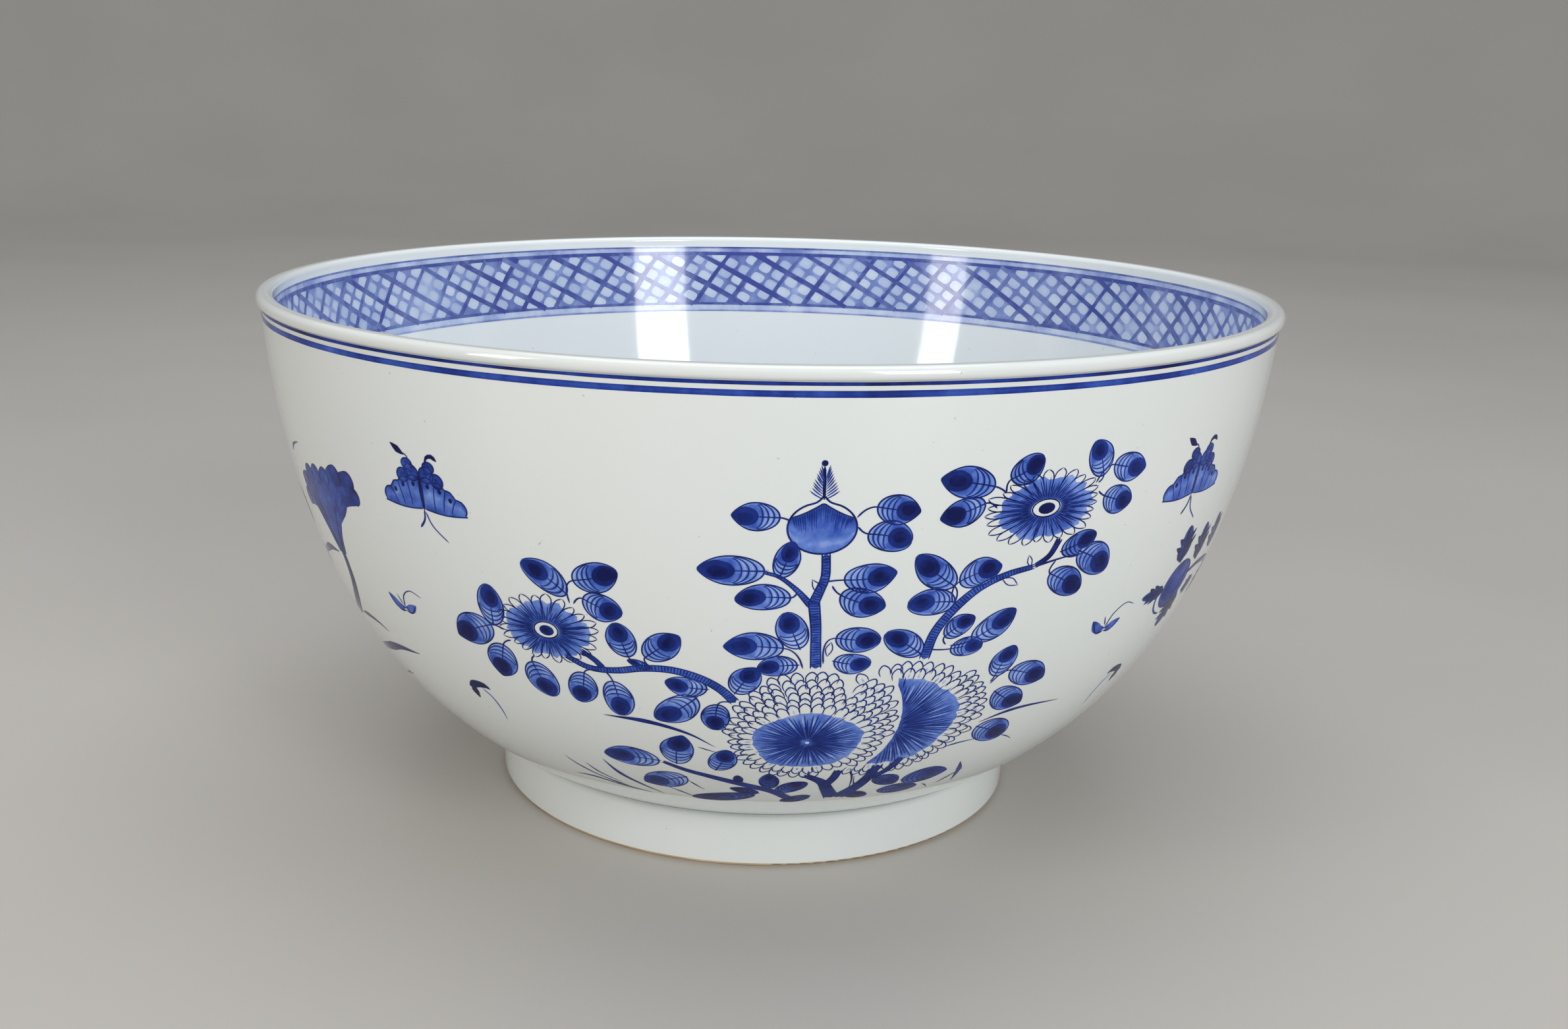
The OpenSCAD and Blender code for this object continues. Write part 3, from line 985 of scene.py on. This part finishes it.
def round_bud_branch(paint):
    """The side branch on the right, with a round bud among jagged leaves."""
    wash, ink, rng = paint
    patch = Patch(wash.canvas, 51.6, 124)
    oval(wash, patch, 0, 0, 10, 10, 0.66, WASH_LIFT, 0.74, 36)
    for i in range(17):
        x = -7.6 + 0.95 * i
        low = -0.8 * math.sqrt(max(0.0, 84 - x * x))
        points = patch.path((x, low), (0.95 * x, low + 5), (0.9 * x, low + rng.uniform(8, 12)))
        stroke(ink, points, [0.5, 0.4, 0.15], [0.75, 0.6], FINE_LIFT)
    oval_line(ink, patch, 0, 0, 10, 10, 0.55, 0.85)
    oval_line(ink, patch, -2.2, -1.6, 10.6, 10.4, 0.9, 0.8, 175, 265)
    for place in JAGGED_LEAVES:
        jagged_leaf(paint, *place)
    stroke(ink, [(54.4, 126.6), (57.5, 128), (62, 126), (67, 119), (71, 109), (76, 100)],
           [1.6, 2.4, 3.2, 3.6, 3.8, 3.4], 0.9)
    leaves(paint, BUD_LEAVES)


def small_ones(paint):
    """Butterflies and windblown petals in the gaps between the sprays."""
    butterfly(paint, (-36.6, 166))
    butterfly(paint, (46.2, 170))
    windblown(paint, (-45, 116), mirrored=False, bend=False)
    windblown(paint, (38.4, 117.5), mirrored=False, bend=False)
    windblown(paint, (-37, 82), mirrored=False, bend=True)
    windblown(paint, (47.8, 84), mirrored=True, bend=True)


MAIN_SPRAY = (
    ("crown", crown_spray), ("right_spray", right_spray), ("left_spray", left_spray),
    ("blooms", bloom_pair), ("ground", ground_cluster),
)
BESIDE_IT = (
    ("trumpet_branch", trumpet_branch), ("round_bud_branch", round_bud_branch), ("butterflies", small_ones),
)


def paint_motifs(motifs, turn, seed, suffix):
    """Paints each motif as two pieces, its pale wash and its dark ink, that far round the bowl."""
    rng = random.Random(seed)
    for name, motif in motifs:
        wash, ink = Film(turn=turn), Film(turn=turn)
        motif((wash, ink, rng))
        wash.finish(f"{name}_wash_{suffix}", "cobalt_wash", COBALT_WASH)
        ink.finish(f"{name}_ink_{suffix}", "cobalt_dark", COBALT_INK)


# ---- rings and the trellis ----
# most mm between the rows of a ring
ROW_PITCH = 2.5


def wobble(a, seed, size):
    """A smooth waver round the bowl, in mm."""
    x, y = math.cos(math.radians(a)), math.sin(math.radians(a))
    return size * noise.noise(Vector((3 * x, 3 * y, seed)))


def ring_band(film, low, high, tone, seed, lift=WASH_LIFT, unsteady=0.15, patchy=0.1):
    """A painted line right round the bowl, a little unsteady, as the brush on a banding wheel is.
    Its rows are close enough to follow the curved wall under what is painted over it."""
    rows = []
    steps = max(2, math.ceil((high - low) / ROW_PITCH))
    for k in (i / steps for i in range(steps + 1)):
        row, base = [], low + k * (high - low)
        for j in range(SEGMENTS):
            a = 360 * j / SEGMENTS
            tone_here = tone + wobble(4 * a, seed + 7, 2 * patchy) + (0.08 if k in (0, 1) else 0)
            waver = wobble(a, seed + k, unsteady) + wobble(5 * a, seed + k, 0.4 * unsteady)
            row.append((a, base + waver, tone_here))
        rows.append(row)
    film.rows(rows, lift, closed=True)


def line_piece(name, canvas, low, high, tone, seed, slot, material, node):
    film = Film(canvas)
    ring_band(film, low, high, tone, seed)
    return film.finish(name, slot, material, node)


# the trellis, in mm and degrees: its bars lean by so many degrees for each mm of height
BORDER_LOW_MM, BORDER_HIGH_MM = BORDER_LOW / MM, BORDER_HIGH / MM
BARS_LOW, BARS_HIGH = BORDER_LOW_MM + 4.0, BORDER_HIGH_MM - 3.6
BARS_MID, BARS_HALF = (BARS_LOW + BARS_HIGH) / 2, (BARS_HIGH - BARS_LOW) / 2
STEEP, SHALLOW = 0.215, -0.56
STEEP_COUNT, SHALLOW_COUNT = 63, 45


def border_ground():
    """The ground: a paler strip above and below the bars."""
    ground = Film(INSIDE)
    ring_band(ground, BORDER_LOW_MM + 0.3, BARS_LOW, 0.15, 11, GROUND_LIFT, patchy=0.15)
    ring_band(ground, BARS_LOW, BARS_HIGH, 0.62, 12, GROUND_LIFT, 0.0, patchy=0.2)
    ring_band(ground, BARS_HIGH, BORDER_HIGH_MM - 0.4, 0.3, 14, GROUND_LIFT, patchy=0.2)
    ground.finish("border_ground", "cobalt_wash", BORDER_WASH, "trellis_border")


def border_bars(rng):
    """The two sets of slanting bars."""
    bars = Film(INSIDE)
    for count, lean, width in ((STEEP_COUNT, STEEP, 2.1), (SHALLOW_COUNT, SHALLOW, 2.4)):
        for i in range(count):
            a = 360 * (i + rng.uniform(-0.06, 0.06)) / count
            tone = rng.uniform(0.78, 0.95)
            points = [
                (a + lean * y + rng.uniform(-0.18, 0.18), BARS_MID + y)
                for y in (-BARS_HALF, -BARS_HALF / 3, BARS_HALF / 3, BARS_HALF)
            ]
            stroke(bars, points, [width * rng.uniform(0.8, 1.2) for _ in range(3)],
                   [tone + rng.uniform(-0.12, 0.12) for _ in range(4)], EDGE_LIFT, taper=0, step=2.5)
    return bars


def border_petal(film, rng, a, y, side_a, side_b):
    """A rounded petal that fills a quarter of a cell with those two sides."""
    shade, p_size, q_size = rng.uniform(0.0, 0.5), rng.uniform(0.175, 0.215), rng.uniform(0.18, 0.215)
    rim = []
    for turn in (math.tau * k / 14 for k in range(14)):
        u, v = (
            size * math.copysign(abs(part) ** 0.62, part)
            for size, part in ((p_size, math.cos(turn)), (q_size, math.sin(turn)))
        )
        rim.append((a + u * side_a[0] + v * side_b[0], y + u * side_a[1] + v * side_b[1], shade + 0.2))
    film.fan((a, y, shade), rim, STEM_LIFT)


def border_petals(rng):
    """Four petals in each cell between the bars."""
    petals = Film(INSIDE)
    step_a, step_b = 360 / STEEP_COUNT, 360 / SHALLOW_COUNT
    side_a = (STEEP * step_b / (STEEP - SHALLOW), step_b / (STEEP - SHALLOW))
    side_b = (-SHALLOW * step_a / (STEEP - SHALLOW), -step_a / (STEEP - SHALLOW))
    for i in range(STEEP_COUNT):
        for j in range(SHALLOW_COUNT):
            a0, b0 = step_a * (i + 0.5), step_b * (j + 0.5)
            gap = (b0 - a0 + 180) % 360 - 180
            y = gap / (STEEP - SHALLOW)
            if abs(y) > BARS_HALF + 4:
                continue
            a = a0 + STEEP * y
            for p, q in ((-0.25, -0.25), (-0.25, 0.25), (0.25, -0.25), (0.25, 0.25)):
                pa = a + p * side_a[0] + q * side_b[0]
                py = BARS_MID + y + p * side_a[1] + q * side_b[1]
                if abs(py - BARS_MID) <= BARS_HALF - 1.4:
                    border_petal(petals, rng, pa, py, side_a, side_b)
    return petals


def border_lines():
    """The lines that close the border and its bars off."""
    lines = Film(INSIDE)
    for low, high, tone, seed, unsteady in (
        (BARS_LOW - 0.6, BARS_LOW + 0.7, 0.85, 21, 0.15),
        (BARS_HIGH - 0.9, BARS_HIGH + 0.8, 0.95, 22, 0.15),
        (BORDER_LOW_MM, BORDER_LOW_MM + 0.8, 0.5, 23, 0.15),
        (BORDER_HIGH_MM - 0.9, BORDER_HIGH_MM - 0.1, 0.75, 24, 0.08),
    ):
        ring_band(lines, low, high, tone, seed, TOP_LIFT, unsteady)
    return lines


def trellis():
    """The border inside the rim: a washed ground, slanting bars, and four petals in each cell."""
    rng = random.Random(31)
    border_ground()
    bars = border_bars(rng)
    petals = border_petals(rng)
    bars.finish("border_trellis", "cobalt", BORDER_INK)
    petals.finish("border_petals", "glaze", BORDER_PETAL)
    border_lines().finish("border_lines", "cobalt", BORDER_INK)


# ---- the glazed bowl ----
def outer_section():
    """Crest of the lip, down the outside to the bare edge, and back up 0.5 mm inside it."""
    meet = math.degrees(math.acos((WALL_TOP_R - LIP_C - LIP_REACH) / LIP_ROLL))
    roll = arc(LIP_C + LIP_REACH, LIP_Z, LIP_ROLL, 90, 14 - meet, 20)
    top = 0.991
    under_lip = WALL_TOP_R, LIP_Z - LIP_ROLL * math.sin(math.radians(meet))
    tuck = corner(roll[-1], under_lip, in_wall(top, 0), 6)
    wall = [in_wall(top * (1 - i / WALL_STEPS), 0) for i in range(1, WALL_STEPS)]
    pool = corner(in_wall(0.014, 0), (FOOT_TOP_R, SEAM_Z), (FOOT_TOP_R, SEAM_Z - 1.5 * MM), 6)
    foot = [(FOOT_BASE_R + FOOT_TAPER * k, BARE_H + k * (SEAM_Z - BARE_H)) for k in (0.7, 0.4, 0.1, 0.0)]
    shown = [(LIP_C, BOWL_H)] + roll + tuck[1:] + wall[:-1] + pool + foot
    hidden = [(FOOT_BASE_R - GLAZE_T, BARE_H), (FOOT_TOP_R - GLAZE_T, SEAM_Z)]
    hidden += [in_wall(i / 24, GLAZE_T) for i in range(1, 24)]
    hidden += [in_wall(top, GLAZE_T), (WALL_TOP_R - 1.2 * GLAZE_T, LIP_Z - 0.7 * LIP_ROLL)]
    hidden += arc(LIP_C + LIP_REACH, LIP_Z, LIP_ROLL - GLAZE_T, -30, 90, 8) + [(LIP_C, BOWL_H - GLAZE_T)]
    return shown + hidden


def inner_section():
    """The floor from the axis out, up the wall to the lip's crest, and back 0.5 mm under it."""
    edge = inner_wall(0)
    shown = sheet(FLOOR_Z, edge, 24) + [inner_wall(i / WALL_STEPS) for i in range(WALL_STEPS - 1)]
    roll = arc(LIP_C - LIP_REACH, LIP_Z, LIP_ROLL, 172, 90, 16)
    shown += corner(inner_wall(1 - 1 / WALL_STEPS), (WALL_TOP_R - WALL_RIM_T, LIP_Z - 0.6 * MM), roll[0], 4)
    shown += roll[1:] + [(LIP_C, BOWL_H)]
    hidden = [(LIP_C, BOWL_H - GLAZE_T)] + arc(LIP_C - LIP_REACH, LIP_Z, LIP_ROLL - GLAZE_T, 90, 176, 8)
    hidden += [inner_wall(i / 24, GLAZE_T) for i in range(23, -1, -1)]
    hidden += list(reversed(sheet(FLOOR_Z - GLAZE_T, inner_wall(0, GLAZE_T), 10)))
    return shown + hidden


def base_section():
    """Up the inside of the foot, across the underside to the axis, and back 0.5 mm over it."""
    edge = in_wall(0, 0)
    under = [p for p in sheet(UNDERSIDE_Z, edge, 40) if p[0] < FOOT_IN_R - 1.5 * MM]
    over = [p for p in sheet(UNDERSIDE_Z + GLAZE_T, in_wall(0, GLAZE_T), 20) if p[0] < FOOT_IN_R - MM]
    join = corner((FOOT_IN_R, under[-1][1] - 1.5 * MM), (FOOT_IN_R, under[-1][1]), under[-1], 6)
    shown = [(FOOT_IN_R, BARE_H + k * (join[0][1] - BARE_H)) for k in (0.0, 0.3, 0.6)] + join
    shown += list(reversed(under[:-1]))
    hidden = over + [(FOOT_IN_R + GLAZE_T, over[-1][1]), (FOOT_IN_R + GLAZE_T, BARE_H)]
    return shown + hidden


# ---- materials ----
def srgb(code):
    def linear(c):
        c /= 255
        return c / 12.92 if c <= 0.04045 else ((c + 0.055) / 1.055) ** 2.4

    return (*(linear(int(code[i:i + 2], 16)) for i in (0, 2, 4)), 1.0)


class Nodes:
    """A material under construction."""

    def __init__(self, name):
        self.material = bpy.data.materials.new(name)
        self.material.use_nodes = True
        self.tree = self.material.node_tree
        self.shader = self.tree.nodes["Principled BSDF"]
        self.place = self.add("ShaderNodeTexCoord").outputs["Object"]

    def add(self, kind, **settings):
        node = self.tree.nodes.new(kind)
        for key, value in settings.items():
            setattr(node, key, value)
        return node

    def link(self, source, target):
        self.tree.links.new(source, target)

    def noise(self, scale, detail=3.0, rough=0.5):
        node = self.add("ShaderNodeTexNoise")
        node.inputs["Scale"].default_value = scale
        node.inputs["Detail"].default_value = detail
        node.inputs["Roughness"].default_value = rough
        self.link(self.place, node.inputs["Vector"])
        return node.outputs["Fac"]

    def spread(self, value, low, high, to_low, to_high):
        node = self.add("ShaderNodeMapRange")
        for key, number in zip(("From Min", "From Max", "To Min", "To Max"), (low, high, to_low, to_high)):
            node.inputs[key].default_value = number
        self.link(value, node.inputs["Value"])
        return node.outputs["Result"]

    def combine(self, a, b, kind="ADD"):
        node = self.add("ShaderNodeMath", operation=kind)
        self.link(a, node.inputs[0])
        self.link(b, node.inputs[1])
        return node.outputs[0]

    def ramp(self, value, *stops):
        node = self.add("ShaderNodeValToRGB")
        marks = node.color_ramp.elements
        while len(marks) < len(stops):
            marks.new(0.5)
        for mark, (at, code) in zip(marks, stops):
            mark.position = at
            mark.color = srgb(code)
        self.link(value, node.inputs["Fac"])
        return node.outputs["Color"]

    def mix(self, factor, a, b):
        node = self.add("ShaderNodeMix", data_type="RGBA")
        self.link(factor, node.inputs["Factor"])
        self.link(a, node.inputs[6])
        self.link(b, node.inputs[7])
        return node.outputs[2]

    def bump(self, value, strength, distance):
        node = self.add("ShaderNodeBump")
        node.inputs["Strength"].default_value = strength
        node.inputs["Distance"].default_value = distance
        self.link(value, node.inputs["Height"])
        self.link(node.outputs["Normal"], self.shader.inputs["Normal"])

    def gloss(self, low, high, strength=1.0):
        """The glaze's own surface: very smooth, faintly rippled, with a clear coat."""
        self.link(self.spread(self.noise(14), 0.35, 0.65, low, high), self.shader.inputs["Roughness"])
        self.bump(self.noise(38, 2), 0.06, 0.0006)
        self.shader.inputs["IOR"].default_value = 1.5
        self.shader.inputs["Specular IOR Level"].default_value = 0.5 * strength
        self.shader.inputs["Coat Weight"].default_value = 0.35 * strength**2
        self.shader.inputs["Coat Roughness"].default_value = 0.03


def porcelain(name, pale, cool):
    """Glaze over white clay with faint clouds and specks; grey-green at the seam, partly pooled glaze and
    partly painted shade.
    """
    n = Nodes(name)
    tint = n.ramp(n.spread(n.noise(5, 4), 0.3, 0.7, 0, 1), (0.0, pale), (1.0, cool))
    specks = n.spread(n.noise(480, 1), 0.79, 0.82, 0, 0.45)
    colour = n.mix(specks, tint, n.ramp(specks, (0.0, "9a8f78"), (1.0, "8a7a60")))
    height = n.add("ShaderNodeSeparateXYZ")
    n.link(n.place, height.inputs[0])
    # painted shade: darker grey-green towards the seam, partly glaze pooled in the corner and partly
    # painted shade and reflection there
    near = n.spread(height.outputs["Z"], SEAM_Z + 7 * MM, SEAM_Z, 0.0, 0.55)
    below = n.spread(height.outputs["Z"], SEAM_Z - 3 * MM, SEAM_Z, 0.0, 1.0)
    seam_pool_and_shade = n.combine(near, below, "MULTIPLY")
    colour = n.mix(seam_pool_and_shade, colour, n.ramp(n.noise(40), (0.3, "aab7b6"), (0.7, "bcc8c6")))
    n.link(colour, n.shader.inputs["Base Color"])
    n.gloss(0.05, 0.11)
    return n.material


def cobalt(name, stops, grain=0.18, gloss=1.0):
    """Cobalt in a range of tones, mottled as brushed pigment is."""
    n = Nodes(name)
    tone = n.add("ShaderNodeAttribute", attribute_name="tone").outputs["Fac"]
    streaks = n.spread(n.noise(160, 4, 0.6), 0.25, 0.75, -grain, grain)
    clouds = n.spread(n.noise(24, 2), 0.3, 0.7, -0.5 * grain, 0.5 * grain)
    n.link(n.ramp(n.combine(n.combine(tone, streaks), clouds), *stops), n.shader.inputs["Base Color"])
    n.gloss(0.06, 0.12, gloss)
    return n.material


def matt_clay(name, pale, deep, rough):
    """Bare fired clay: a fine matt grain in two close colours."""
    n = Nodes(name)
    n.link(n.ramp(n.noise(60, 5), (0.3, pale), (0.7, deep)), n.shader.inputs["Base Color"])
    n.link(n.spread(n.noise(300), 0.3, 0.7, rough - 0.08, rough + 0.08), n.shader.inputs["Roughness"])
    n.bump(n.noise(900, 3), 0.3, 0.0002)
    return n.material


# glaze over the outer painting shows the room less in the photo than glaze over white
PAINTED_GLOSS = 0.2
GLAZE = porcelain("glaze_outside", "e6e9e6", "e0e6e5")
GLAZE_INSIDE = porcelain("glaze_inside", "eef3f4", "e6edf0")
GLAZE_BASE = porcelain("glaze_base", "e4e8e3", "dae1de")
COBALT_STOPS = (
    (0.0, "bccbec"), (0.2, "93abe2"), (0.4, "6383d2"), (0.6, "3c5bb6"), (0.8, "20388e"), (1.0, "0e1750"),
)
COBALT_WASH = cobalt("cobalt_wash", COBALT_STOPS, 0.18, PAINTED_GLOSS)
COBALT_INK = cobalt("cobalt_ink", COBALT_STOPS, 0.1, PAINTED_GLOSS)
BORDER_STOPS = ((0.0, "d3def3"), (0.3, "b4c3e8"), (0.6, "8093cd"), (1.0, "414f9c"))
BORDER_WASH = cobalt("border_wash", BORDER_STOPS)
BORDER_INK = cobalt("border_ink", BORDER_STOPS, 0.16)
BORDER_PETAL = cobalt("border_petal", ((0.0, "d3def0"), (0.4, "bccbe8"), (1.0, "93a6d8")), 0.14)
FOOT_LINE = cobalt("foot_line", ((0.0, "aab5c4"), (0.5, "6f7c98"), (1.0, "414e74")), 0.2)
BARE_FOOT = matt_clay("bare_foot", "d8c7a4", "c3a87c", 0.7)
CLAY = matt_clay("fired_clay", "ebe5d8", "ddd4c2", 0.8)
SLIP = matt_clay("slip", "d9cdb2", "c9ba9a", 0.82)


def dress_cad_nodes():
    """Better materials for the CAD nodes whose shape is right."""
    for node, material in (("bowl_wall", CLAY), ("foot_ring", BARE_FOOT), ("slip_joint", SLIP)):
        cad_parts[node].data.materials.clear()
        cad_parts[node].data.materials.append(material)


def make_bowl():
    revolve("outer_skin", outer_section(), "glaze", GLAZE, "outer_glaze")
    revolve("inner_skin", inner_section(), "glaze", GLAZE_INSIDE, "inner_glaze")
    revolve("base_skin", base_section(), "glaze", GLAZE_BASE, "base_glaze")
    for node, tone, seed, slot, material in (
        ("fine_rim_line", 0.84, 41, "cobalt_dark", COBALT_INK),
        ("broad_rim_line", 0.72, 42, "cobalt", COBALT_INK),
        ("foot_line", 0.5, 43, "cobalt_grey", FOOT_LINE),
    ):
        low, high = (c.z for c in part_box(node))
        runs = [run_at_height(z) for z in (low - BLEED, high)]
        line_piece(node + "_paint", OUTSIDE, *runs, tone, seed, slot, material, node)
    trellis()


def run_at_height(z):
    """How far up the wall from the seam, in mm, a height is."""
    marks = [(point[1], s) for point, s in zip(outer_points, OUTSIDE.coords)]
    for (z0, s0), (z1, s1) in zip(marks, marks[1:]):
        if z0 <= z <= z1:
            return s0 + (s1 - s0) * (z - z0) / (z1 - z0)
    raise ValueError("not on the wall")


# ---- stage, light and camera ----
def make_stage():
    """A round floor that curves up into a wall on every side."""
    n = Nodes("pale_floor")
    n.link(n.ramp(n.noise(3, 2), (0.3, "bdb9b3"), (0.7, "c2beb8")), n.shader.inputs["Base Color"])
    n.shader.inputs["Roughness"].default_value = 0.55
    flat, rise, top = 2.6, 1.3, 2.2
    section = [(0.0, 0.0), (0.6, 0.0), (flat, 0.0)]
    section += arc(flat, rise, rise, -85, 0, 17) + [(flat + rise, top)]
    verts, faces = spin(section, 128, closed=False)
    mesh = bpy.data.meshes.new("studio_floor")
    mesh.from_pydata(verts, [], faces)
    mesh.shade_smooth()
    mesh.materials.append(n.material)
    floor = bpy.data.objects.new("studio_floor", mesh)
    bpy.context.scene.collection.objects.link(floor)


def make_light(name, place, target, size, power, colour):
    lamp = bpy.data.lights.new(name, "AREA")
    lamp.shape, lamp.size, lamp.size_y = "RECTANGLE", *size
    lamp.energy, lamp.color = power, colour
    light = bpy.data.objects.new(name, lamp)
    light.location = place
    light.rotation_euler = (Vector(target) - Vector(place)).to_track_quat("-Z", "Y").to_euler()
    light.visible_camera = False
    bpy.context.scene.collection.objects.link(light)


def make_lights():
    """Two tall boxes behind the camera, which the basin's far wall mirrors, and one overhead."""
    centre = (0, 0, 0.15)
    make_light("right_softbox", (0.85, -1.6, 0.72), centre, (0.5, 1.15), 17, (0.97, 0.985, 1.0))
    make_light("left_softbox", (-1.5, -1.0, 0.72), centre, (0.36, 1.1), 9, (1.0, 0.96, 0.91))
    make_light("overhead", (0.0, 0.2, 2.1), centre, (1.8, 1.6), 15, (0.97, 0.985, 1.0))
    world = bpy.data.worlds.new("studio")
    world.use_nodes = True
    sky = world.node_tree.nodes["Background"].inputs
    sky["Color"].default_value, sky["Strength"].default_value = (0.93, 0.96, 1.0, 1), 0.52
    bpy.context.scene.world = world
    bpy.context.scene.view_settings.view_transform = "Standard"


# where the camera stands, how far it looks down and leans in degrees, and its lens
CAMERA_AT = (-0.0291, -0.6512, 0.2866)
CAMERA_TILT, CAMERA_ROLL = 15.26, 0.86
LENS, SENSOR, SHIFT_X = 36.06, 36, 0.06


def make_camera():
    """Stands 0.65 m in front of the axis, a little to its left, and looks 15 degrees down."""
    tilt, roll = math.radians(CAMERA_TILT), math.radians(CAMERA_ROLL)
    forward = Vector((0, math.cos(tilt), -math.sin(tilt)))
    level = Vector((1, 0, 0))
    up = level.cross(forward)
    right = math.cos(roll) * level + math.sin(roll) * up
    above = -math.sin(roll) * level + math.cos(roll) * up
    data = bpy.data.cameras.new("camera")
    data.sensor_fit, data.sensor_width, data.lens, data.shift_x = "HORIZONTAL", SENSOR, LENS, SHIFT_X
    camera = bpy.data.objects.new("camera", data)
    turn = Matrix((right, above, -forward)).transposed().to_4x4()
    camera.matrix_world = Matrix.Translation(CAMERA_AT) @ turn
    bpy.context.scene.collection.objects.link(camera)
    bpy.context.scene.camera = camera


make_camera()
make_stage()
make_lights()
dress_cad_nodes()
make_bowl()
for turn, seed, suffix in ((0, 5, "front"), (180, 6, "back")):
    paint_motifs(MAIN_SPRAY, turn, seed, suffix)
    paint_motifs(BESIDE_IT, turn, seed + 10, suffix)
